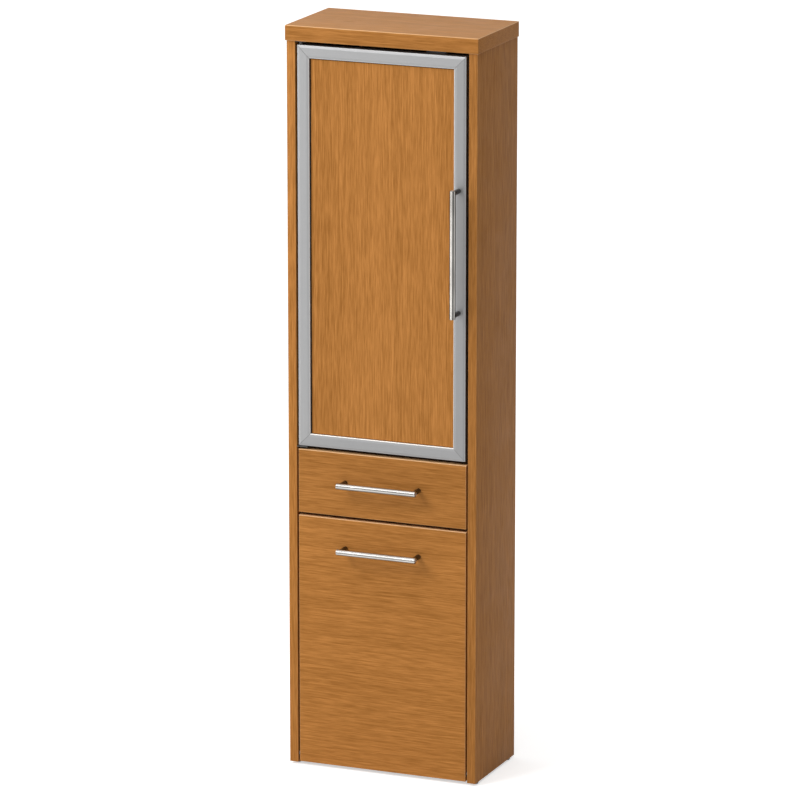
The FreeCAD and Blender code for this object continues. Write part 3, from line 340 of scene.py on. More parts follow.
@dataclass(frozen=True)
class Grain(Effect):
    """Straight wood grain that runs along its own Z: bands, streaks, fibres and short pores."""

    title = "Straight grain"
    inputs = (("Place", "Vector", (0, 0, 0)), ("Light", "Color", (0.5, 0.22, 0.06, 1)),
              ("Dark", "Color", (0.3, 0.12, 0.03, 1)), ("Pore", "Color", (0.16, 0.06, 0.015, 1)),
              ("Contrast", "Float", 1.0))
    outputs = (("Color", "Color"), ("Pores", "Float"), ("Height", "Float"))
    wander: Noise = Noise((5.0, 5.0, 1.6), 1.0, share=0.012)
    band: Noise = Noise((55.0, 55.0, 0.9), 3.0, 0.55, 0.30, 0.70, 0.20)
    streak: Noise = Noise((380.0, 380.0, 22.0), 3.0, 0.6, 0.32, 0.68, 0.56)
    fibre: Noise = Noise((420.0, 420.0, 7.0), 3.0, 0.6, 0.28, 0.72, 0.40)
    thread: Noise = Noise((1300.0, 1300.0, 16.0), 2.0, 0.5, 0.30, 0.70, 0.12)
    cloud: Noise = Noise((6.0, 6.0, 2.0), share=0.16)
    pore: Noise = Noise((900.0, 900.0, 26.0), 1.0, 0.4, 0.60, 0.74, 0.24)
    fibre_height: float = 0.5

    def draw(self, board: Board, given: Sequence[Socket]) -> dict[str, Socket]:
        """Lay bands, streaks, fibres, threads and clouds over each other and sink the pores.

        Args:
            board: The group's board.
            given: Its inputs.

        Returns:
            Colour, pores and height.
        """
        place = given["Place"]
        push = board.times(self.wander.draw(board, place), self.wander.share)
        bent = board.vector("ADD", place, board.combine(push, push))
        fibres = self.fibre.mask(board, bent)
        pores = self.pore.mask(board, bent)
        layers = ((self.band.mask(board, bent), self.band.share),
                  (self.streak.mask(board, bent), self.streak.share), (fibres, self.fibre.share),
                  (self.thread.mask(board, bent), self.thread.share),
                  (self.cloud.draw(board, place), self.cloud.share))
        tone = board.total(-sum(share for _, share in layers) / 2, *layers)
        tone = board.calc("ADD", board.times(tone, given["Contrast"]), 0.5, clamp=True)
        colour = board.blend(tone, given["Dark"], given["Light"])
        colour = board.blend(board.times(pores, self.pore.share), colour, given["Pore"])
        height = board.calc("SUBTRACT", board.times(fibres, self.fibre_height), pores)
        return {"Color": colour, "Pores": pores, "Height": height}


@dataclass(frozen=True)
class BoxEdges(Effect):
    """Masks of a box's edges: all of them, those broken by wear, and two for painted highlights: the edges at
    the top and the top face.
    """

    title = "Box edges"
    inputs = (("Place", "Vector", (0, 0, 0)), ("Centre", "Vector", (0, 0, 0)), ("Half", "Vector", (1, 1, 1)),
              ("Width", "Float", 0.001), ("Broken", "Float", 0.5))
    outputs = (("Edge", "Float"), ("Wear", "Float"), ("Upper", "Float"), ("Top", "Float"))
    patch: Noise = Noise(even(46.0), 4.0, 0.65, 0.46, 0.66)
    # Reach and strength of the painted highlights along the top edges and on the top face.
    upper_highlight_gain: float = 1.5
    upper_highlight_deep: float = 0.003
    top_highlight_from: float = 0.0001
    top_highlight_deep: float = 0.0004

    def draw(self, board: Board, given: Sequence[Socket]) -> dict[str, Socket]:
        """Measure how far the surface point is inside each side of the box.

        Args:
            board: The group's board.
            given: Its inputs.

        Returns:
            The four masks.
        """
        away = board.vector("SUBTRACT", given["Place"], given["Centre"])
        x, y, z = board.split(board.vector("SUBTRACT", given["Half"], board.vector("ABSOLUTE", away)))[:3]
        middle = board.calc("MAXIMUM", board.calc("MINIMUM", x, y),
                            board.calc("MINIMUM", board.calc("MAXIMUM", x, y), z))
        edge = board.less(board.calc("DIVIDE", middle, given["Width"]))
        gaps = board.times(given["Broken"], board.less(self.patch.mask(board, given["Place"])))
        # Painted highlight: the edges near the top and the top face are marked paler, as if lit from above.
        above = board.calc("GREATER_THAN", board.split(away)[2], 0.0)
        near_top_highlight = board.times(board.spread(z, 0.0, self.upper_highlight_deep, 1.0, 0.0), above)
        highlit_edge = board.calc("MULTIPLY", edge, self.upper_highlight_gain, clamp=True)
        return {"Edge": edge, "Wear": board.times(edge, board.less(gaps)),
                "Upper": board.times(highlit_edge, near_top_highlight),
                "Top": board.times(board.spread(z, self.top_highlight_from, self.top_highlight_deep, 1.0, 0.0), above)}


@dataclass(frozen=True)
class BrushedLines(Effect):
    """Fine lines left by brushing or drawing, running along its own Z."""

    title = "Brushed lines"
    inputs = (("Place", "Vector", (0, 0, 0)), ("Fine", "Float", 2600.0), ("Long", "Float", 14.0))
    outputs = (("Lines", "Float"), ("Cloud", "Float"))
    line: Noise = Noise(even(1.0), 3.0, 0.6, 0.25, 0.75)
    cloud: Noise = Noise(even(16.0), 3.0)

    def draw(self, board: Board, given: Sequence[Socket]) -> dict[str, Socket]:
        """Draw the lines at their pace across and along.

        Args:
            board: The group's board.
            given: Its inputs.

        Returns:
            The lines and slow clouds.
        """
        pace = board.combine(given["Fine"], given["Fine"], given["Long"])
        lines = self.line.mask(board, board.vector("MULTIPLY", given["Place"], pace))
        return {"Lines": lines, "Cloud": self.cloud.draw(board, given["Place"])}


@dataclass(frozen=True)
class Touch(Effect):
    """Where hands and dust have dulled a surface: soft smears and small specks."""

    title = "Touch and dust"
    inputs = (("Place", "Vector", (0, 0, 0)), ("Size", "Float", 22.0), ("Grit", "Float", 900.0))
    outputs = (("Smear", "Float"), ("Speck", "Float"))
    smear: Noise = Noise(even(1.0), 4.0, 0.6, 0.35, 0.75, distortion=0.8)
    speck: Noise = Noise(even(1.0), 2.0, 0.5, 0.40, 0.70)

    def draw(self, board: Board, given: Sequence[Socket]) -> dict[str, Socket]:
        """Draw both at the paces that the material asks for.

        Args:
            board: The group's board.
            given: Its inputs.

        Returns:
            Smears and specks.
        """
        paced = [board.vector("MULTIPLY", given["Place"], board.combine(*[given[name]] * 3))
                 for name in ("Size", "Grit")]
        return {"Smear": self.smear.mask(board, paced[0]), "Speck": self.speck.mask(board, paced[1])}


# ------------------------------------------------------------------ finishes


def turned_place(board: Board, run: Run, shift: Point = (0.0, 0.0, 0.0)) -> tuple[Socket, Socket]:
    """The surface point, and the same point turned so that the grain's way is its Z.

    Args:
        board: The material's board.
        run: The way that the grain runs.
        shift: Moves the pattern, so that no two boards look alike.

    Returns:
        The plain point and the turned point.
    """
    plain = board.place()
    parts = board.split(plain)
    turned = board.combine(*(parts[axis] for axis in run.order))
    return plain, board.add("ShaderNodeMapping", Vector=turned, Location=shift).outputs[0]


def new_surface(name: str) -> tuple[Surface, Board, Node]:
    """Start a material.

    Args:
        name: The material's name.

    Returns:
        The material, its board and its Principled node.
    """
    surface = bpy.data.materials.new(name)
    surface.use_nodes = True
    return surface, Board(surface.node_tree), surface.node_tree.nodes["Principled BSDF"]


def raise_surface(board: Board, shader: Node, height: Socket, depth: float, strength: float) -> None:
    """Add a Bump node that feeds the shader's normal."""
    bump = board.add("ShaderNodeBump", Height=height, Distance=depth, Strength=strength)
    board.feed(shader, "Normal", bump.outputs[0])


def box_of(node: str) -> tuple[Point, Point]:
    """The centre and half size of a node's box."""
    low, high = (Vector(corner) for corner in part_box(node))
    return tuple((low + high) / 2), tuple((high - low) / 2)


@dataclass(frozen=True)
class Veneer:
    """Satin oak-brown wood decor with straight grain, slightly paler edge banding, painted highlights along
    the top edges and on the top faces, and on some boards painted shade on the front edge.
    """

    light: Colour = (0.516, 0.218, 0.056)
    dark: Colour = (0.296, 0.116, 0.023)
    pore: Colour = (0.190, 0.066, 0.010)
    # Colour of the pale edge banding and its wear, also used for the painted highlights at the top.
    edging_and_highlight: Colour = (0.940, 0.600, 0.330)
    tone: float = 1.0
    contrast: float = 1.25
    gloss: float = 0.045
    roughness: float = 0.50
    pore_rough: float = 0.16
    smear_rough: float = 0.07
    edge_polish: float = 0.08
    edge_width: float = 0.0018
    edge_broken: float = 0.35
    edge_share: float = 0.10
    # Shares of the painted highlight along the top edges and on the top face.
    upper_highlight_share: float = 0.80
    top_highlight_share: float = 0.0
    smear_size: float = 9.0
    grit: float = 700.0
    relief: float = 0.00012
    relief_strength: float = 0.35
    # Painted shade: a near-black strip on the front edge, standing in for the shade in the gaps between the
    # fronts.
    painted_gap_shade: bool = False
    band: Colour = (0.052, 0.023, 0.010)
    gap_shade_deep: float = 0.0008
    gap_shade_smear: float = 0.05

    def shade(self, colour: Colour) -> tuple[float, float, float, float]:
        """The colour at this board's tone, with its alpha."""
        return (*scaled(colour, self.tone), 1.0)

    def build(self, name: str, run: Run, shift: Point, node: str) -> Surface:
        """Make the material of one board.

        Args:
            name: The material's name.
            run: The way of the grain.
            shift: Moves the pattern.
            node: The board, whose edges are paler.

        Returns:
            The material.
        """
        surface, board, shader = new_surface(name)
        plain, turned = turned_place(board, run, shift)
        grain = Grain.use(board, Place=turned, Light=self.shade(self.light), Dark=self.shade(self.dark),
                          Pore=self.shade(self.pore), Contrast=self.contrast)
        centre, half = box_of(node)
        edges = BoxEdges.use(board, Place=plain, Centre=centre, Half=half, Width=self.edge_width,
                             Broken=self.edge_broken)
        smear = Touch.use(board, Place=plain, Size=self.smear_size, Grit=self.grit)["Smear"]
        # Paler where the edge banding shows wear, plus painted highlight along the top edges and on the top
        # face.
        pale = board.calc("ADD", board.times(edges["Wear"], self.edge_share),
                          board.times(edges["Upper"], self.upper_highlight_share), clamp=True)
        pale = board.calc("MAXIMUM", pale, board.times(edges["Top"], self.top_highlight_share))
        colour = board.blend(pale, grain["Color"], self.edging_and_highlight)
        # Painted shade on the board's front edge, broken a little by smears.
        if self.painted_gap_shade:
            front = board.calc("LESS_THAN", board.split(plain)[1], centre[1] - half[1] + self.gap_shade_deep)
            gap_shade_mask = board.calc("SUBTRACT", front, board.times(smear, self.gap_shade_smear), clamp=True)
            colour = board.blend(gap_shade_mask, colour, self.band)
        rough = board.total(self.roughness, (grain["Pores"], self.pore_rough), (smear, self.smear_rough),
                            (edges["Edge"], -self.edge_polish))
        board.fill(shader, Base_Color=colour, Roughness=rough, Specular_IOR_Level=self.gloss)
        raise_surface(board, shader, grain["Height"], self.relief, self.relief_strength)
        return surface


@dataclass(frozen=True)
class SatinAluminium:
    """Anodised aluminium with fine drawing lines, painted highlights along its edges and on the lip round the
    opening, and dark mitre joints.
    """

    colour: Colour = (0.288, 0.288, 0.290)
    tone: float = 1.0
    roughness: float = 0.46
    line_rough: float = 0.10
    smear_rough: float = 0.06
    fine: float = 3200.0
    long: float = 9.0
    line_share: float = 0.12
    line_dark: float = 0.72
    cloud_low: float = 0.3
    cloud_high: float = 0.7
    cloud_share: float = 0.0875
    cloud_pale: float = 1.12
    # Pale outer edges: partly wear, partly painted highlight.
    wear_and_highlight: Colour = (0.600, 0.595, 0.585)
    wear_and_highlight_share: float = 0.6
    edge_width: float = 0.0016
    edge_broken: float = 0.4
    # Painted highlight along the lip round the opening.
    lip: Colour = (0.600, 0.595, 0.585)
    lip_highlight_share: float = 0.6
    lip_highlight_width: float = 0.0012
    crack: Colour = (0.045, 0.043, 0.042)
    mitre_share: float = 0.85
    mitre_width: float = 0.0006
    smear_size: float = 14.0
    grit: float = 1600.0
    relief: float = 0.00002
    relief_strength: float = 0.25

    def build(self, name: str, run: Run, node: str, opening: tuple[Point, Point]) -> Surface:
        """Make the material of one bar.

        Args:
            name: The material's name.
            run: The bar's length, along which it is brushed.
            node: The bar, whose outer edges are paler.
            opening: Centre and half size of the opening that the four bars leave.

        Returns:
            The material.
        """
        surface, board, shader = new_surface(name)
        plain, turned = turned_place(board, run)
        brushed = BrushedLines.use(board, Place=turned, Fine=self.fine, Long=self.long)
        centre, half = box_of(node)
        edges = BoxEdges.use(board, Place=plain, Centre=centre, Half=half, Width=self.edge_width,
                             Broken=self.edge_broken)
        smear = Touch.use(board, Place=plain, Size=self.smear_size, Grit=self.grit)["Smear"]
        cloud = board.spread(brushed["Cloud"], self.cloud_low, self.cloud_high, 0.0, self.cloud_share)
        # The lip mask carries a painted highlight; the mitre mask the dark joints.
        lip, mitre = self.opening_lines(board, plain, *opening)
        base = scaled(self.colour, self.tone)
        # Layers: drawing lines, clouds, wear with painted highlight on the outer edges, painted highlight on
        # the lip, dark mitre joints.
        layers = ((board.times(brushed["Lines"], self.line_share), scaled(base, self.line_dark)),
                  (cloud, scaled(base, self.cloud_pale)),
                  (board.times(edges["Wear"], self.wear_and_highlight_share), self.wear_and_highlight),
                  (board.times(lip, self.lip_highlight_share), self.lip),
                  (board.times(mitre, self.mitre_share), self.crack))
        colour: object = base
        for share, over in layers:
            colour = board.blend(share, colour, over)
        rough = board.total(self.roughness, (brushed["Lines"], self.line_rough), (smear, self.smear_rough))
        board.fill(shader, Base_Color=colour, Metallic=1.0, Roughness=rough)
        raise_surface(board, shader, brushed["Lines"], self.relief, self.relief_strength)
        return surface

    def opening_lines(self, board: Board, place: Socket, centre: Point, half: Point) -> tuple[Socket, Socket]:
        """Masks of the painted highlight on the lip round the opening and of the mitred joints at its
        corners.

        Args:
            board: The material's board.
            place: The surface point.
            centre: The opening's centre.
            half: Half its size.

        Returns:
            The lip highlight's mask and the mitres' mask.
        """
        away = board.vector("ABSOLUTE", board.vector("SUBTRACT", place, centre))
        beyond = board.split(board.vector("SUBTRACT", away, half))
        near = board.calc("ABSOLUTE", board.calc("MAXIMUM", beyond[0], beyond[2]))
        off = board.calc("ABSOLUTE", board.calc("SUBTRACT", beyond[0], beyond[2]))
        return (board.less(board.calc("DIVIDE", near, self.lip_highlight_width)),
                board.less(board.calc("DIVIDE", off, self.mitre_width)))


@dataclass(frozen=True)
class Steel:
    """Bare steel: bright drawn bars, or duller plated small parts."""

    colour: Colour = (0.300, 0.288, 0.272)
    stain: Colour = (0.235, 0.222, 0.205)
    stain_share: float = 0.45
    stain_low: float = 0.35
    stain_high: float = 0.72
    speck_share: float = 0.12
    speck_dark: float = 0.6
    roughness: float = 0.19
    line_rough: float = 0.09
    smear_rough: float = 0.12
    fine: float = 2600.0
    long: float = 7.0
    smear_size: float = 30.0
    grit: float = 1500.0
    groove: float = 0.0000015
    groove_strength: float = 0.2
    # The drawn noise and the streaks paint reflections: dark lines along a bar, standing in for dark
    # surroundings that a polished bar mirrors.
    drawn: Noise = Noise((430.0, 430.0, 0.3), 1.0)
    streaks: float = 0.0
    reflection_line_from: float = 0.52
    reflection_line_rise: float = 0.08
    reflection_line_dark: float = 0.14
    stretch: float = 0.0
    quarter_turn: float = 0.25

    def build(self, name: str, run: Run) -> Surface:
        """Make the material.

        Args:
            name: The material's name.
            run: The way of the brushing and, on a bar, of its axis.

        Returns:
            The material.
        """
        surface, board, shader = new_surface(name)
        plain, turned = turned_place(board, run)
        lines = BrushedLines.use(board, Place=turned, Fine=self.fine, Long=self.long)
        touch = Touch.use(board, Place=plain, Size=self.smear_size, Grit=self.grit)
        cloud = board.spread(lines["Cloud"], self.stain_low, self.stain_high, 0.0, self.stain_share)
        colour = board.blend(cloud, self.colour, self.stain)
        # Painted reflection: dark lines along the bar.
        if self.streaks:
            streak = board.spread(self.drawn.draw(board, turned), self.reflection_line_from,
                                  self.reflection_line_from + self.reflection_line_rise, 0.0, self.streaks)
            colour = board.blend(streak, colour, scaled(self.colour, self.reflection_line_dark))
        colour = board.blend(board.times(touch["Speck"], self.speck_share), colour,
                             scaled(self.colour, self.speck_dark))
        rough = board.total(self.roughness, (lines["Lines"], self.line_rough),
                            (touch["Smear"], self.smear_rough))
        board.fill(shader, Base_Color=colour, Metallic=1.0, Roughness=rough)
        if self.stretch:
            round_way = board.add("ShaderNodeTangent")
            round_way.direction_type = "RADIAL"
            round_way.axis = run.value
            board.fill(shader, Anisotropic=self.stretch, Anisotropic_Rotation=self.quarter_turn,
                       Tangent=round_way.outputs[0])
        raise_surface(board, shader, lines["Lines"], self.groove, self.groove_strength)
        return surface


@dataclass(frozen=True)
class Moulded:
    """Plastic, rubber or paint: one colour with a fine texture, specks and handled patches."""

    colour: Colour = (0.78, 0.78, 0.75)
    dull: float = 0.88
    gloss: float = 0.5
    roughness: float = 0.42
    smear_rough: float = 0.14
    smear_share: float = 0.5
    smear_size: float = 18.0
    speck_share: float = 0.22
    grit: float = 1400.0
    texture: float = 0.00004
    texture_strength: float = 0.4

    def build(self, name: str) -> Surface:
        """Make the material.

        Args:
            name: The material's name.

        Returns:
            The material.
        """
        surface, board, shader = new_surface(name)
        touch = Touch.use(board, Place=board.place(), Size=self.smear_size, Grit=self.grit)
        colour: object = self.colour
        for label, share in (("Smear", self.smear_share), ("Speck", self.speck_share)):
            colour = board.blend(board.times(touch[label], share), colour, scaled(self.colour, self.dull))
        rough = board.total(self.roughness, (touch["Smear"], self.smear_rough))
        board.fill(shader, Base_Color=colour, Roughness=rough, Specular_IOR_Level=self.gloss)
        raise_surface(board, shader, touch["Speck"], self.texture, self.texture_strength)
        return surface


@dataclass(frozen=True)
class Hardboard:
    """Thin pressed fibre board with flecks."""

    colour: Colour = (0.42, 0.26, 0.13)
    fleck_colour: Colour = (0.24, 0.13, 0.06)
    cloud_pale: float = 1.25
    fleck: Noise = Noise(even(260.0), 5.0, 0.7, 0.42, 0.70, distortion=1.2)
    cloud: Noise = Noise(even(7.0), 3.0, 0.5, 0.35, 0.70, 0.3)
    rough_from: tuple[float, float] = (0.3, 0.7)
    rough_to: tuple[float, float] = (0.62, 0.82)
    relief: float = 0.0001
    relief_strength: float = 0.4

    def build(self, name: str) -> Surface:
        """Make the material.

        Args:
            name: The material's name.

        Returns:
            The material.
        """
        surface, board, shader = new_surface(name)
        plain = board.place()
        fleck = self.fleck.draw(board, plain)
        flecks = board.spread(fleck, self.fleck.low, self.fleck.high)
        colour = board.blend(flecks, self.colour, self.fleck_colour)
        colour = board.blend(board.times(self.cloud.mask(board, plain), self.cloud.share), colour,
                             scaled(self.colour, self.cloud_pale))
        rough = board.spread(fleck, *self.rough_from, *self.rough_to)
        board.fill(shader, Base_Color=colour, Roughness=rough)
        raise_surface(board, shader, fleck, self.relief, self.relief_strength)
        return surface


# ------------------------------------------------------------------ mesh helpers


def clear_selection() -> None:
    """Leave edit mode and let go of everything."""
    active = bpy.context.view_layer.objects.active
    if active and active.mode != "OBJECT":
        bpy.ops.object.mode_set(mode="OBJECT")
    bpy.ops.object.select_all(action="DESELECT")


def hold(piece: Piece) -> None:
    """Select one piece alone and make it active.

    Args:
        piece: The piece.
    """
    clear_selection()
    piece.select_set(True)
    bpy.context.view_layer.objects.active = piece


def settle(piece: Piece) -> Piece:
    """Put a piece's place into its mesh, so that its object stays at the origin.

    Args:
        piece: The piece.

    Returns:
        The same piece.
    """
    hold(piece)
    bpy.ops.object.transform_apply(location=True, rotation=True, scale=True)
    return piece


def edit(piece: Piece) -> None:
    """Open the piece's mesh for editing."""
    hold(piece)
    bpy.ops.object.mode_set(mode="EDIT")


def pick(piece: Piece, kind: str, wanted: Callable[[object], bool]) -> None:
    """In edit mode, select only what a test accepts.

    Args:
        piece: The piece being edited.
        kind: VERT, EDGE or FACE.
        wanted: Tells whether an element is taken.
    """
    bpy.ops.mesh.select_mode(type=kind)
    bpy.ops.mesh.select_all(action="DESELECT")
    mesh = bmesh.from_edit_mesh(piece.data)
    for item in {"VERT": mesh.verts, "EDGE": mesh.edges, "FACE": mesh.faces}[kind]:
        if wanted(item):
            item.select_set(True)
    mesh.select_flush_mode()
    bmesh.update_edit_mesh(piece.data)


def round_edges(width: float, segments: int) -> None:
    """Bevel the selected edges."""
    bpy.ops.mesh.bevel(offset=width, segments=segments, affect="EDGES")


def inset_faces(*steps: tuple[float, float]) -> None:
    """Inset the selected faces step by step, each by a width and a height."""
    for width, height in steps:
        bpy.ops.mesh.inset(thickness=width, depth=height)


def finish_mesh(piece: Piece, angle: float = SMOOTH_ANGLE) -> None:
    """Merge doubles, turn faces outwards and smooth shallow edges.

    Args:
        piece: The piece.
        angle: Edges sharper than this stay crisp, in degrees.
    """
    bpy.ops.object.mode_set(mode="EDIT")
    bpy.ops.mesh.select_all(action="SELECT")
    bpy.ops.mesh.remove_doubles(threshold=DOUBLE)
    bpy.ops.mesh.normals_make_consistent(inside=False)
    bpy.ops.object.mode_set(mode="OBJECT")
    settle(piece)
    bpy.ops.object.shade_smooth_by_angle(angle=math.radians(angle))


def hand_over(piece: Piece, body: str, surface: Surface, nodes: Sequence[str]) -> None:
    """Give a finished piece its material and its place in the part.

    Args:
        piece: The piece.
        body: The body that it rides on.
        surface: Its material.
        nodes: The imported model's nodes that it stands for.
    """
    piece.data.materials.clear()
    piece.data.materials.append(surface)
    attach(piece, body)
    if nodes:
        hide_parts(*nodes)
    LOG.info("%s rides on %s and stands for %s", piece.name, body, ", ".join(nodes) or "nothing")


def own_copy(source: Piece, name: str) -> Piece:
    """Copy a piece with its own mesh.

    Args:
        source: What is copied.
        name: The copy's name.

    Returns:
        The copy.
    """
    clear_selection()
    copy = bpy.data.objects.new(name, source.data.copy())
    bpy.context.scene.collection.objects.link(copy)
    return copy


def twin(piece: Piece, name: str, move: Vector) -> Piece:
    """Copy a finished piece to another place.

    Args:
        piece: The piece.
        name: The copy's name.
        move: The way from the piece to the copy.

    Returns:
        The copy.
    """
    copy = own_copy(piece, name)
    copy.location = move
    return settle(copy)


def eased_copy(node: Piece, name: str, width: float, wanted: Callable[[Edge], bool],
               crisp: float = CRISP_ANGLE) -> Piece:
    """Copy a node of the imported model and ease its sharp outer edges.

    Args:
        node: The node.
        name: The copy's name.
        width: Width of the eased edge in metres.
        wanted: Tells which of the sharp edges are eased.
        crisp: Edges of the finished copy that are sharper than this stay crisp, in degrees.

    Returns:
        The finished copy.
    """
    piece = own_copy(node, name)
    edit(piece)
    bpy.ops.mesh.select_all(action="SELECT")
    bpy.ops.mesh.remove_doubles(threshold=DOUBLE)
    bpy.ops.mesh.dissolve_limited(angle_limit=math.radians(FLAT_ANGLE))
    pick(piece, "EDGE", lambda edge: edge.is_manifold and edge.is_convex
         and edge.calc_face_angle(0.0) > math.radians(SHARP_ANGLE) and wanted(edge))
    bpy.ops.mesh.bevel(offset=width, segments=2, affect="EDGES", clamp_overlap=True)
    finish_mesh(piece, crisp)
    return piece


def on_box_edge(node: str) -> Callable[[Edge], bool]:
    """Make a test for edges that run along the edges of a node's box.

    Args:
        node: The node.

    Returns:
        The test.
    """
    centre, half = (Vector(point) for point in box_of(node))

    def sides(vert: bmesh.types.BMVert) -> set[int]:
        """The ways in which a corner lies on the box."""
        away = vert.co - centre
        return {way for way in range(3) if abs(abs(away[way]) - half[way]) < TOUCH}

    return lambda edge: len(sides(edge.verts[0]) & sides(edge.verts[1])) >= 2


def add_box(centre: Sequence[float], size: Sequence[float]) -> Piece:
    """Add a box.

    Args:
        centre: Its middle.
        size: Its size along each axis.

    Returns:
        The box.
    """
    clear_selection()
    bpy.ops.mesh.primitive_cube_add(size=1, location=centre, scale=size)
    return bpy.context.object


def add_drum(centre: Sequence[float], radius: float, length: float, facets: int,
             upright: bool = False) -> Piece:
    """Add a cylinder and return it.

    Args:
        centre: Its middle.
        radius: Its radius.
        length: Its length.
        facets: How many flat sides it has.
        upright: Whether it stands; otherwise it lies along X.

    Returns:
        The cylinder.
    """
    clear_selection()
    bpy.ops.mesh.primitive_cylinder_add(vertices=facets, radius=radius, depth=length, location=centre,
                                        rotation=(0, 0 if upright else math.pi / 2, 0))
    return bpy.context.object


def join(pieces: Sequence[Piece]) -> Piece:
    """Make one piece of several.

    Args:
        pieces: The pieces.

    Returns:
        The joined piece, with its place in its mesh.
    """
    clear_selection()
    for piece in pieces:
        piece.select_set(True)
    bpy.context.view_layer.objects.active = pieces[0]
    bpy.ops.object.join()
    return settle(bpy.context.object)


def cut_away(piece: Piece, tools: Sequence[Piece], crossing: bool = False) -> None:
    """Cut shapes out of a piece.

    Args:
        piece: The piece.
        tools: The shapes, which are used up.
        crossing: Whether the shapes cross each other.
    """
    tool = join(tools)
    hold(piece)
    cut = piece.modifiers.new("cut", "BOOLEAN")
    cut.operation = "DIFFERENCE"
    cut.solver = "EXACT"
    cut.use_self = crossing
    cut.object = tool
    bpy.ops.object.modifier_apply(modifier=cut.name)
    bpy.data.objects.remove(tool)


def dress(node: Piece, surface: Surface) -> None:
    """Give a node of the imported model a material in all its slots.

    Args:
        node: The node.
        surface: The material.
    """
    if not node.material_slots:
        node.data.materials.append(surface)
    for slot in node.material_slots:
        slot.material = surface


@dataclass(frozen=True)
class RoundSolid:
    """One round solid of a node: the way of its axis, its place and which of its ends are heads."""

    way: int
    centre: Point
    half: Point
    heads: tuple[int, ...]

    def head_points(self) -> list[Point]:
        """The middle of each head."""
        return [tuple(c + sign * h if way == self.way else c
                      for way, (c, h) in enumerate(zip(self.centre, self.half))) for sign in self.heads]


@dataclass(frozen=True)
class SolidFinder:
    """Finds the round solids that a node is made of."""

    end_slack: float = 4 * TOUCH
    head_share: float = 0.9

    def find(self, node: Piece) -> list[RoundSolid]:
        """Take a node's mesh apart.

        Args:
            node: The node.

        Returns:
            One entry for each solid, in the order of their places.
        """
        mesh = bmesh.new()
        mesh.from_mesh(node.data)
        bmesh.ops.remove_doubles(mesh, verts=mesh.verts, dist=DOUBLE)
        left = set(mesh.verts)
        found = []
        while left:
            solid = [left.pop()]
            for vert in solid:
                near = {edge.other_vert(vert) for edge in vert.link_edges} & left
                left -= near
                solid.extend(near)
            found.append(self.measure([vert.co for vert in solid]))
        mesh.free()
        return sorted(found, key=lambda one: tuple(round(value, 4) for value in one.centre))

    def measure(self, corners: Sequence[Vector]) -> RoundSolid:
        """Find a solid's axis, ends and heads.

        Args:
            corners: The places of its corners.

        Returns:
            The measured solid.
        """
        low, high = (Vector(limit(co[way] for co in corners) for way in range(3)) for limit in (min, max))
        centre, half = (low + high) / 2, (high - low) / 2
        usual = sorted(half)[1]
        axis = max(range(3), key=lambda way: abs(half[way] - usual))
        reach = {}
        for sign in (-1, 1):
            end = [co - centre for co in corners
                   if abs((co - centre)[axis] - sign * half[axis]) < self.end_slack]
            reach[sign] = max(sum(away[way] ** 2 for way in range(3) if way != axis) for away in end)
        heads = tuple(sign for sign in (-1, 1) if reach[sign] > self.head_share * max(reach.values()))
        return RoundSolid(axis, tuple(centre), tuple(half), heads)


def cut_crosses(piece: Piece, points: Sequence[tuple[int, Point]], reach: float, wide: float,
                deep: float) -> None:
    """Sink a driver's cross into round heads.

    Args:
        piece: The piece that is cut.
        points: The way of each head's axis and the middle of its face.
        reach: Length of the cross's arms from tip to tip.
        wide: Width of an arm.
        deep: Depth of the cross.
    """
    bars = []
    for axis, point in points:
        first, second = (way for way in range(3) if way != axis)
        for long, short in ((first, second), (second, first)):
            size = [2 * deep] * 3
            size[long], size[short] = reach, wide
            bars.append(add_box(point, size))
    cut_away(piece, bars, crossing=True)


# ------------------------------------------------------------------ sub-assemblies


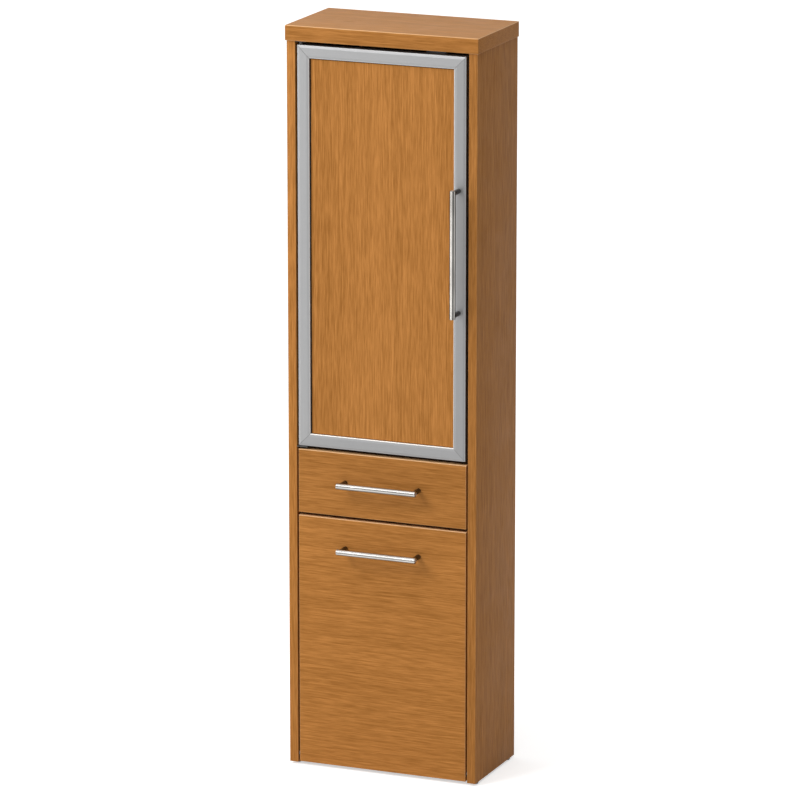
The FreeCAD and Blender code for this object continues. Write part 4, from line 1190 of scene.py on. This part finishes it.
@dataclass
class BarHandle:
    """The round bar of a handle, which stands on two posts."""

    body: str
    upright: bool
    facets: int = 72
    end_rings: tuple[float, ...] = (0.0014, 0.004)
    end_land: float = 0.32
    end_slope: float = 0.10
    end_sink: float = 0.0003
    end_round: float = 0.0009
    end_segments: int = 4
    rim_from: float = 0.98
    # Both bars carry painted reflections as dark lines along them; the upright bar's are more and darker.
    flat_steel: Steel = Steel(colour=(0.62, 0.605, 0.580), roughness=0.36, stretch=0.8, streaks=0.85)
    upright_steel: Steel = Steel(colour=(0.60, 0.580, 0.545), roughness=0.40, stretch=0.9, streaks=1.0,
                                 reflection_line_from=0.46, reflection_line_dark=0.04)

    def build(self) -> None:
        """Turn the bar and dress it with steel that is drawn along it."""
        node = f"{self.body}_handle_bar"
        centre, half = box_of(node)
        length = 2 * (half[2] if self.upright else half[0])
        bar = settle(add_drum(centre, half[1], length, self.facets, self.upright))
        bar.name = f"{self.body}_pull_bar"
        self.shape_ends(bar, Vector(centre), half[1], length)
        run, steel = (Run.UP, self.upright_steel) if self.upright else (Run.ACROSS, self.flat_steel)
        hand_over(bar, self.body, steel.build(f"{self.body} pull bar steel", run), [node])

    def shape_ends(self, bar: Piece, centre: Vector, radius: float, length: float) -> None:
        """Ring the bar near its ends, sink the end faces and round their rims.

        Args:
            bar: The bar.
            centre: Its middle.
            radius: Its radius.
            length: Its length.
        """
        way = Vector((0, 0, 1)) if self.upright else Vector((1, 0, 0))

        def on_rim(away: Vector) -> bool:
            """Whether a corner at this distance from the middle lies on the rim of an end."""
            at_end = abs(abs(away.dot(way)) - length / 2) < TOUCH
            return at_end and away.cross(way).length > radius * self.rim_from

        edit(bar)
        for sign in (-1, 1):
            for inwards in self.end_rings:
                bpy.ops.mesh.select_all(action="SELECT")
                bpy.ops.mesh.bisect(plane_co=centre + way * sign * (length / 2 - inwards), plane_no=way)
        pick(bar, "FACE", lambda face: abs(face.normal.dot(way)) > FACING)
        inset_faces((radius * self.end_land, 0.0), (radius * self.end_slope, -self.end_sink))
        pick(bar, "EDGE", lambda edge: all(on_rim(vert.co - centre) for vert in edge.verts))
        round_edges(self.end_round, self.end_segments)
        finish_mesh(bar)


@dataclass(frozen=True)
class Plank:
    """One board: its node, the way of its grain, its finish and its slot."""

    node: str
    run: Run
    veneer: Veneer
    slot: str = "inner_board"


@dataclass
class WoodWork:
    """All boards of the carcass, the fronts and the drawer."""

    inside: Veneer = Veneer(contrast=1.125)
    # The bottom panel and the dividers get painted shade on their front edges.
    gap_shaded: Veneer = Veneer(contrast=1.125, painted_gap_shade=True)
    planks: tuple[Plank, ...] = (
        # The side panels' tones differ: the right one's lower tone also paints shade on its side face, which
        # faces away from the key.
        Plank("side_panel_left", Run.UP, Veneer(tone=1.06), "veneer"),
        Plank("side_panel_right", Run.UP, Veneer(tone=0.87), "veneer"),
        # The top cover, drawer front and flap front get a painted highlight on their top faces.
        Plank("top_cover", Run.ACROSS, Veneer(tone=0.93, top_highlight_share=0.12), "veneer"),
        Plank("drawer_front", Run.ACROSS, Veneer(tone=0.92, top_highlight_share=0.52, edge_share=0.40), "veneer"),
        Plank("flap_front", Run.ACROSS, Veneer(tone=0.99, top_highlight_share=0.52, edge_share=0.40), "veneer"),
        Plank("door_panel", Run.UP, Veneer(), "veneer"),
        Plank("bottom_panel", Run.ACROSS, gap_shaded), Plank("divider_lower", Run.ACROSS, gap_shaded),
        Plank("divider_upper", Run.ACROSS, gap_shaded), Plank("shelf_lower", Run.ACROSS, inside),
        Plank("shelf_upper", Run.ACROSS, inside), Plank("hanging_rail", Run.ACROSS, inside),
        Plank("drawer_side_left", Run.DEEP, inside), Plank("drawer_side_right", Run.DEEP, inside),
        Plank("drawer_back", Run.ACROSS, inside))
    ease: float = 0.0006
    shift: Point = (0.37, 0.61, 0.83)
    thin_boards: tuple[str, ...] = ("back_panel", "drawer_floor")

    def build(self, nodes: dict[str, Piece], owner: dict[str, str]) -> None:
        """Ease the edges of each board and dress it with its own run of grain.

        Args:
            nodes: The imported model's objects.
            owner: The body that each node belongs to.
        """
        for index, plank in enumerate(self.planks):
            name = plank.node
            moved = tuple(step * index for step in self.shift)
            surface = plank.veneer.build(f"{name} veneer", plank.run, moved, name)
            piece = eased_copy(nodes[name], f"{name}_eased", self.ease, on_box_edge(name))
            hand_over(piece, owner[name], surface, [name])
        thin = Hardboard().build("thin hardboard")
        for name in self.thin_boards:
            dress(nodes[name], thin)


@dataclass(frozen=True)
class FrameBar:
    """One bar of the door's frame: its node, the way of its length and its finish."""

    node: str
    run: Run
    finish: SatinAluminium = SatinAluminium()


@dataclass
class DoorFrame:
    """The mitred aluminium frame of the door, and the seal round its infill, whose showing lip paints the
    shade at the infill's edge.
    """

    bars: tuple[FrameBar, ...] = (
        FrameBar("door_rail_top", Run.ACROSS),
        # The bottom rail's lip gets a near-white painted highlight, the handle stile's a dimmer one.
        FrameBar("door_rail_bottom", Run.ACROSS, SatinAluminium(
            tone=0.93, lip=(0.86, 0.84, 0.81), lip_highlight_share=1.0, lip_highlight_width=0.0019)),
        FrameBar("door_stile_hinge", Run.UP),
        FrameBar("door_stile_handle", Run.UP, SatinAluminium(
            tone=0.86, lip=(0.52, 0.52, 0.515), lip_highlight_share=1.0, lip_highlight_width=0.0013)))
    bar_width: float = 0.025
    front_depth: float = 0.0015
    ease: float = 0.00035
    crisp: float = 8.0
    # How far the black seal shows past the frame's lip as painted shade, and how much less it shows at the
    # bottom.
    seal_shade_show: float = 0.0018
    seal_shade_low: float = 0.0013
    seal_round: float = 0.00025
    seal_segments: int = 3
    rubber: Moulded = Moulded(colour=(0.008, 0.006, 0.005), roughness=0.7, gloss=0.1)

    def build(self, nodes: dict[str, Piece]) -> None:
        """Ease the front edges of the four bars, dress them and lay the seal.

        Args:
            nodes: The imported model's objects.
        """
        low, high = Vector(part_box("door_rail_bottom")[0]), Vector(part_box("door_rail_top")[1])
        centre = (low + high) / 2
        half = (high - low) / 2 - Vector((self.bar_width, 0.0, self.bar_width))
        front = low.y + self.front_depth
        for bar in self.bars:
            name = bar.node
            surface = bar.finish.build(f"{name} anodised", bar.run, name, (tuple(centre), tuple(half)))
            piece = eased_copy(nodes[name], f"{name}_eased", self.ease,
                               lambda edge: all(vert.co.y < front for vert in edge.verts), self.crisp)
            hand_over(piece, "door", surface, [name])
        self.lay_seal_shade(Vector(box_of("door_seal")[0]), Vector(box_of("door_seal")[1]) * 2, half)

    def lay_seal_shade(self, centre: Vector, size: Vector, opening: Vector) -> None:
        """Model the soft seal, whose lip shows as a dark line round the infill: partly the real seal, partly
        painted shade, as it shows past the frame's lip and less at the bottom.

        Args:
            centre: The middle of the seal.
            size: Its outer size.
            opening: Half the size of the opening that the frame leaves.
        """
        inner = opening.x - self.seal_shade_show
        seal = settle(add_box(centre, size))
        seal.name = "door_seal_shade_lip"
        edit(seal)
        pick(seal, "FACE", lambda face: abs(face.normal.y) > FACING)
        inset_faces((size.x / 2 - opening.x + self.seal_shade_show, 0.0))
        bpy.ops.mesh.bridge_edge_loops()
        pick(seal, "VERT", lambda vert: abs(vert.co.x - centre.x) < inner + TOUCH and vert.co.z < centre.z)
        bpy.ops.transform.translate(value=(0.0, 0.0, -self.seal_shade_low))
        pick(seal, "EDGE", lambda edge: edge.is_convex and all(
            abs(vert.co.x - centre.x) < inner + TOUCH and vert.co.y < centre.y for vert in edge.verts))
        round_edges(self.seal_round, self.seal_segments)
        finish_mesh(seal)
        hand_over(seal, "door", self.rubber.build("soft black seal"), ["door_seal"])


class Coat(Enum):
    """The finishes that the fittings share, with their materials' names."""

    ZINC = "zinc plating"
    DARK = "burnished plate"
    POST = "post steel"
    ENAMEL = "white enamel"
    WHITE = "moulded white plastic"
    GREY = "moulded grey plastic"
    BLACK = "black nylon"


Coats = dict[Coat, Surface]


@dataclass(frozen=True)
class Paint:
    """The fittings' finishes, whose materials are made once."""

    metals: tuple[tuple[Coat, Run, Steel], ...] = (
        (Coat.ZINC, Run.UP, Steel(colour=(0.56, 0.57, 0.58), stain=(0.46, 0.45, 0.40), roughness=0.36,
                                  fine=700.0, long=700.0, groove=0.00002)),
        # The hinge plates are dark steel made near black, partly painted shade in the gap above the door.
        (Coat.DARK, Run.UP, Steel(colour=(0.085, 0.080, 0.076), stain=(0.05, 0.045, 0.04), roughness=0.45,
                                  fine=700.0, long=700.0, groove=0.00001)),
        # Post steel: dark steel made darker still, partly painted shade where the bars shadow the posts.
        (Coat.POST, Run.DEEP, Steel(colour=(0.100, 0.095, 0.090), stain=(0.07, 0.065, 0.06))))
    plastics: tuple[tuple[Coat, Moulded], ...] = (
        (Coat.ENAMEL, Moulded(colour=(0.80, 0.80, 0.78), roughness=0.38, texture=0.00003)),
        (Coat.WHITE, Moulded(colour=(0.83, 0.83, 0.80), texture=0.00006)),
        (Coat.GREY, Moulded(colour=(0.20, 0.21, 0.22), roughness=0.5, texture=0.00006)),
        (Coat.BLACK, Moulded(colour=(0.03, 0.03, 0.03), roughness=0.5, texture=0.00006)))

    def build(self) -> Coats:
        """Make the materials.

        Returns:
            The material of each finish.
        """
        made = {coat: finish.build(coat.value, run) for coat, run, finish in self.metals}
        made.update((coat, finish.build(coat.value)) for coat, finish in self.plastics)
        return made


@dataclass
class Fittings:
    """Plates, posts, pins, arms, runners and the laundry bin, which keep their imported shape."""

    kinds: tuple[tuple[Coat, tuple[str, ...]], ...] = (
        (Coat.ENAMEL, ("runner_left", "runner_right", "drawer_rail_left", "drawer_rail_right")),
        (Coat.WHITE, ("hamper_bin",)),
        (Coat.BLACK, ("door_bushes", "flap_bushes")),
        # Hinge plates: near black, partly painted shade in the gap above the door.
        (Coat.DARK, ("hinge_plates",)),
        (Coat.POST, ("door_handle_posts", "drawer_handle_posts", "flap_handle_posts")),
        (Coat.ZINC, ("cam_bolts", "door_corner_keys", "door_strikes", "flap_pivot_pins", "flap_stop_pins",
                     "flap_stop_arm_left", "flap_stop_arm_right", "shelf_pins")))

    def build(self, nodes: dict[str, Piece], coats: Coats) -> None:
        """Dress every fitting that no new piece stands for.

        Args:
            nodes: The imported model's objects.
            coats: The fittings' materials.
        """
        for coat, names in self.kinds:
            for name in names:
                dress(nodes[name], coats[coat])
                LOG.info("%s is dressed as %s", name, coat.value)


@dataclass
class Screws:
    """Screws and cam drums with a driver's cross in each head."""

    kinds: tuple[tuple[str, str, float], ...] = (
        ("hinge_screws", "cabinet", 0.0036), ("door_handle_screws", "door", 0.0040),
        ("drawer_handle_screws", "drawer", 0.0040), ("flap_handle_screws", "flap", 0.0040),
        ("flap_screws", "flap", 0.0034), ("cam_housings", "cabinet", 0.0070))
    arm_share: float = 0.26
    deep_share: float = 0.32
    ease: float = 0.0003

    def build(self, nodes: dict[str, Piece], coats: Coats) -> None:
        """Ease the rims of the heads and cut the crosses.

        Args:
            nodes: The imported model's objects.
            coats: The fittings' materials.
        """
        for name, body, reach in self.kinds:
            solids = SolidFinder().find(nodes[name])
            piece = eased_copy(nodes[name], f"{name}_crossed", self.ease,
                               lambda edge, solids=solids: self.on_head(edge, solids))
            points = [(one.way, point) for one in solids for point in one.head_points()]
            cut_crosses(piece, points, reach, reach * self.arm_share, reach * self.deep_share)
            finish_mesh(piece, CRISP_ANGLE)
            hand_over(piece, body, coats[Coat.ZINC], [name])

    @staticmethod
    def on_head(edge: Edge, solids: Sequence[RoundSolid]) -> bool:
        """Whether an edge lies in the end face of a head.

        Args:
            edge: The edge.
            solids: The node's round solids.

        Returns:
            True where it does.
        """
        return any(all(abs(vert.co[one.way] - point[one.way]) < TOUCH
                       and (vert.co - Vector(point)).length < max(one.half) for vert in edge.verts)
                   for one in solids for point in one.head_points())


@dataclass
class Rollers:
    """Four moulded runner wheels with a rim, a sunk web with holes and a raised hub."""

    names: tuple[str, ...] = ("roller_front_left", "roller_front_right",
                              "roller_rear_left", "roller_rear_right")
    facets: int = 60
    rim_round: float = 0.0004
    rim: float = 0.0016
    rim_step: float = 0.0003
    web_sink: float = 0.0009
    hub_radius: float = 0.0040
    hub_step: float = 0.0002
    bore_radius: float = 0.00205
    hole_radius: float = 0.0009
    hole_circle: float = 0.0054
    hole_count: int = 5
    hole_facets: int = 24

    def build(self, coats: Coats) -> None:
        """Model one wheel and copy it to the four places.

        Args:
            coats: The fittings' materials.
        """
        first, *others = self.names
        centre, half = box_of(first)
        wheel = self.model(Vector(centre), half[1], half[0])
        wheel.name = f"{first}_wheel"
        hand_over(wheel, first, coats[Coat.WHITE], [first])
        for name in others:
            piece = twin(wheel, f"{name}_wheel", Vector(box_of(name)[0]) - Vector(centre))
            hand_over(piece, name, coats[Coat.WHITE], [name])

    def model(self, centre: Vector, radius: float, half_wide: float) -> Piece:
        """Turn the wheel, sink its webs, raise its hub and bore it.

        Args:
            centre: The wheel's middle.
            radius: Its radius.
            half_wide: Half its width.

        Returns:
            The wheel.
        """
        wheel = settle(add_drum(centre, radius, 2 * half_wide, self.facets))
        edit(wheel)
        pick(wheel, "EDGE", lambda edge: all(
            abs(abs(vert.co.x - centre.x) - half_wide) < TOUCH for vert in edge.verts))
        round_edges(self.rim_round, 2)
        pick(wheel, "FACE", lambda face: abs(face.normal.x) > SQUARE_ON)
        web = radius - self.rim_round - self.rim_step - self.rim - self.hub_radius
        inset_faces((self.rim, 0.0), (self.rim_step, -self.web_sink), (web, 0.0),
                    (self.hub_step, self.web_sink), (self.hub_radius - self.hub_step - self.bore_radius, 0.0))
        bpy.ops.mesh.bridge_edge_loops()
        cut_away(wheel, self.drills(centre, 4 * half_wide))
        finish_mesh(wheel, CRISP_ANGLE)
        return wheel

    def drills(self, centre: Vector, length: float) -> list[Piece]:
        """Stand a ring of drills in the holes of the web.

        Args:
            centre: The wheel's middle.
            length: How long the drills are.

        Returns:
            The drills.
        """
        turns = [2 * math.pi * index / self.hole_count for index in range(self.hole_count)]
        return [add_drum(centre + Vector((0.0, math.cos(turn), math.sin(turn))) * self.hole_circle,
                         self.hole_radius, length, self.hole_facets) for turn in turns]


@dataclass
class Catches:
    """Magnetic catches: a moulded housing with a sunk face, a magnet and two steel pole strips."""

    round_off: float = 0.0012
    round_segments: int = 4
    frame_wide: float = 0.0018
    face_sink: float = 0.0010
    face_step: float = 0.0002
    magnet_inset: float = 1.5
    magnet_rise: float = 0.7
    pole_wide: float = 0.0016
    pole_stand: float = 0.0009
    pole_deep: float = 1.6
    pole_ease: float = 0.00025

    def build(self, nodes: dict[str, Piece], coats: Coats) -> None:
        """Model the housing and the poles once and copy them to the second place.

        Args:
            nodes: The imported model's objects.
            coats: The fittings' materials.
        """
        low, high = (Vector(corner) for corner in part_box("door_catches"))
        tall = min(one.half[2] for one in SolidFinder().find(nodes["door_catches"])) * 2
        centre = Vector(((low.x + high.x) / 2, (low.y + high.y) / 2, low.z + tall / 2))
        size = Vector((high.x - low.x, high.y - low.y, tall))
        housing = self.model_housing(centre, size)
        poles = self.model_poles(centre, size)
        up = Vector((0.0, 0.0, high.z - low.z - tall))
        for piece, slot, coat in ((housing, "grey_plastic", Coat.GREY), (poles, "zinc", Coat.ZINC)):
            other = twin(piece, f"{piece.name}_top", up)
            piece.name = f"{piece.name}_low"
            for one in (piece, other):
                hand_over(one, "cabinet", coats[coat], ["door_catches"] if piece is housing else [])

    def model_housing(self, centre: Vector, size: Vector) -> Piece:
        """Round a block, frame its face and sink the middle.

        Args:
            centre: The housing's middle.
            size: Its size.

        Returns:
            The housing.
        """
        housing = settle(add_box(centre, size))
        housing.name = "catch_housing"
        edit(housing)
        pick(housing, "FACE", lambda face: face.normal.y < -FACING)
        inset_faces((self.frame_wide, 0.0), (self.face_step, -self.face_sink),
                    (self.pole_wide * self.magnet_inset, 0.0),
                    (self.face_step, self.face_sink * self.magnet_rise))
        pick(housing, "EDGE", lambda edge: abs(edge.verts[0].co.y - edge.verts[1].co.y) > size.y / 2)
        round_edges(self.round_off, self.round_segments)
        finish_mesh(housing, CRISP_ANGLE)
        return housing

    def model_poles(self, centre: Vector, size: Vector) -> Piece:
        """Two bevelled strips that stand in the sunk face, above and below the magnet.

        Args:
            centre: The housing's middle.
            size: Its size.

        Returns:
            The strips.
        """
        strip = (size.x - 4 * self.frame_wide, self.pole_stand * self.pole_deep, self.pole_wide)
        rise = size.z / 2 - self.frame_wide - self.pole_wide
        poles = join([add_box(centre + Vector((0.0, -size.y / 2 + self.pole_stand, sign * rise)), strip)
                      for sign in (-1, 1)])
        poles.name = "catch_poles"
        edit(poles)
        bpy.ops.mesh.select_all(action="SELECT")
        round_edges(self.pole_ease, 2)
        finish_mesh(poles, CRISP_ANGLE)
        return poles


@dataclass
class Glides:
    """Floor glides with a rounded sole."""

    ease: float = 0.0009

    def build(self, nodes: dict[str, Piece], coats: Coats) -> None:
        """Round the lower rim of the four glides.

        Args:
            nodes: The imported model's objects.
            coats: The fittings' materials.
        """
        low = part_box("floor_glides")[0][2]
        piece = eased_copy(nodes["floor_glides"], "floor_glides_rounded", self.ease,
                           lambda edge: all(abs(vert.co.z - low) < TOUCH for vert in edge.verts))
        hand_over(piece, "cabinet", coats[Coat.GREY], ["floor_glides"])


# ------------------------------------------------------------------ studio


@dataclass(frozen=True)
class Viewpoint:
    """The camera: long lens, right of the cabinet and above it."""

    azimuth: float = 22.58
    elevation: float = 13.82
    distance: float = 10.885
    target: Point = (0.0026, 0.0, 0.7493)
    lens: float = 248.2
    sensor: float = 36.0
    sight: float = 200.0

    def build(self) -> None:
        """Place the camera and make it the scene's."""
        turn, lift = math.radians(self.azimuth), math.radians(self.elevation)
        back = Vector((math.sin(turn) * math.cos(lift), -math.cos(turn) * math.cos(lift), math.sin(lift)))
        data = bpy.data.cameras.new("camera")
        data.lens = self.lens
        data.sensor_width = self.sensor
        data.clip_end = self.sight
        camera = bpy.data.objects.new("camera", data)
        camera.location = Vector(self.target) + back * self.distance
        camera.rotation_euler = (-back).to_track_quat("-Z", "Y").to_euler()
        bpy.context.scene.collection.objects.link(camera)
        bpy.context.scene.camera = camera


def hang_lamp(name: str, kind: str, power: float, back: Sequence[float],
              place: Point = (0.0, 0.0, 0.0)) -> bpy.types.Light:
    """Hang a lamp.

    Args:
        name: The lamp's name.
        kind: AREA or SUN.
        power: Its power in watts, or a sun's strength.
        back: The way from what it shines on to the lamp.
        place: Where it hangs.

    Returns:
        The lamp's data.
    """
    data = bpy.data.lights.new(name, kind)
    data.energy = power
    lamp = bpy.data.objects.new(name, data)
    lamp.location = place
    lamp.rotation_euler = Vector(back).to_track_quat("Z", "Y").to_euler()
    bpy.context.scene.collection.objects.link(lamp)
    return data


def seen_share(board: Board) -> Socket:
    """Tell what the camera, gloss and glass see from light that falls on the object.

    Args:
        board: The material's or the world's board.

    Returns:
        1 where it is seen, otherwise 0.
    """
    path = board.add("ShaderNodeLightPath").outputs
    return board.calc("MAXIMUM", path["Is Camera Ray"],
                      board.calc("MAXIMUM", path["Is Glossy Ray"], path["Is Transmission Ray"]))


@dataclass(frozen=True)
class Softbox:
    """A rectangular lamp that looks at the cabinet."""

    name: str
    power: float
    place: Point
    wide: float
    tall: float
    aim: Point = (0.0, 0.0, 0.95)

    def build(self) -> None:
        """Hang it."""
        data = hang_lamp(self.name, "AREA", self.power, Vector(self.place) - Vector(self.aim), self.place)
        data.shape = "RECTANGLE"
        data.size, data.size_y = self.wide, self.tall


@dataclass(frozen=True)
class Studio:
    """Plain pale floor, white surroundings, two softboxes at the front left and a soft ceiling."""

    softboxes: tuple[Softbox, ...] = (Softbox("key", 102.0, (-2.0, -3.0, 3.4), 1.7, 1.7),
                                      Softbox("strip", 17.0, (-2.6, -2.2, 0.95), 0.35, 1.8))
    ceiling_strength: float = 1.20
    ceiling_from: Point = (-0.12, -0.18, 1.0)
    ceiling_angle: float = 60.0
    fill: float = 0.34
    floor_size: float = 90.0
    floor_colour: Colour = (0.78, 0.78, 0.775)
    floor_cloud: Noise = Noise(even(3.0), 3.0, 0.5, 0.3, 0.7, 0.04)
    floor_pale: Colour = (0.8, 0.8, 0.8)
    floor_rough: float = 0.9
    floor_lift: float = 0.56
    white: tuple[float, float, float, float] = (1.0, 1.0, 1.0, 1.0)

    def build(self) -> None:
        """Make the floor, the lamps and the surroundings."""
        self.make_floor()
        for softbox in self.softboxes:
            softbox.build()
        ceiling = hang_lamp("ceiling", "SUN", self.ceiling_strength, self.ceiling_from)
        ceiling.angle = math.radians(self.ceiling_angle)
        self.make_surroundings()
        bpy.context.scene.view_settings.view_transform = "Standard"

    def make_floor(self) -> None:
        """A wide plane that the camera sees as white and that keeps the cabinet's shadow."""
        clear_selection()
        bpy.ops.mesh.primitive_plane_add(size=self.floor_size, location=(0, 0, 0))
        floor = bpy.context.object
        floor.name = "floor"
        surface, board, shader = new_surface("pale floor")
        cloud = board.times(self.floor_cloud.mask(board, board.place()), self.floor_cloud.share)
        board.fill(shader, Base_Color=board.blend(cloud, self.floor_colour, self.floor_pale),
                   Roughness=self.floor_rough, Emission_Color=self.white,
                   Emission_Strength=board.times(seen_share(board), self.floor_lift))
        floor.data.materials.append(surface)

    def make_surroundings(self) -> None:
        """A world that lights evenly and that the camera and gloss see as white."""
        world = bpy.data.worlds.new("surroundings")
        bpy.context.scene.world = world
        world.use_nodes = True
        board = Board(world.node_tree)
        board.fill(world.node_tree.nodes["Background"], Color=self.white,
                   Strength=board.spread(seen_share(board), 0.0, 1.0, self.fill, 1.0))


def main() -> None:
    """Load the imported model, dress it, add the new pieces, the studio and the camera."""
    logging.basicConfig(level=logging.INFO, format="%(message)s")
    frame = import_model()
    nodes = frame["nodes"]
    Viewpoint().build()
    Studio().build()
    owner = {name: body for body, names in frame["record"]["behaviour"]["bodies"].items() for name in names}
    coats = Paint().build()
    WoodWork().build(nodes, owner)
    DoorFrame().build(nodes)
    Fittings().build(nodes, coats)
    Screws().build(nodes, coats)
    Rollers().build(coats)
    Catches().build(nodes, coats)
    Glides().build(nodes, coats)
    for body, upright in (("door", True), ("drawer", False), ("flap", False)):
        BarHandle(body, upright).build()
    clear_selection()


if __name__ == "__main__":
    main()
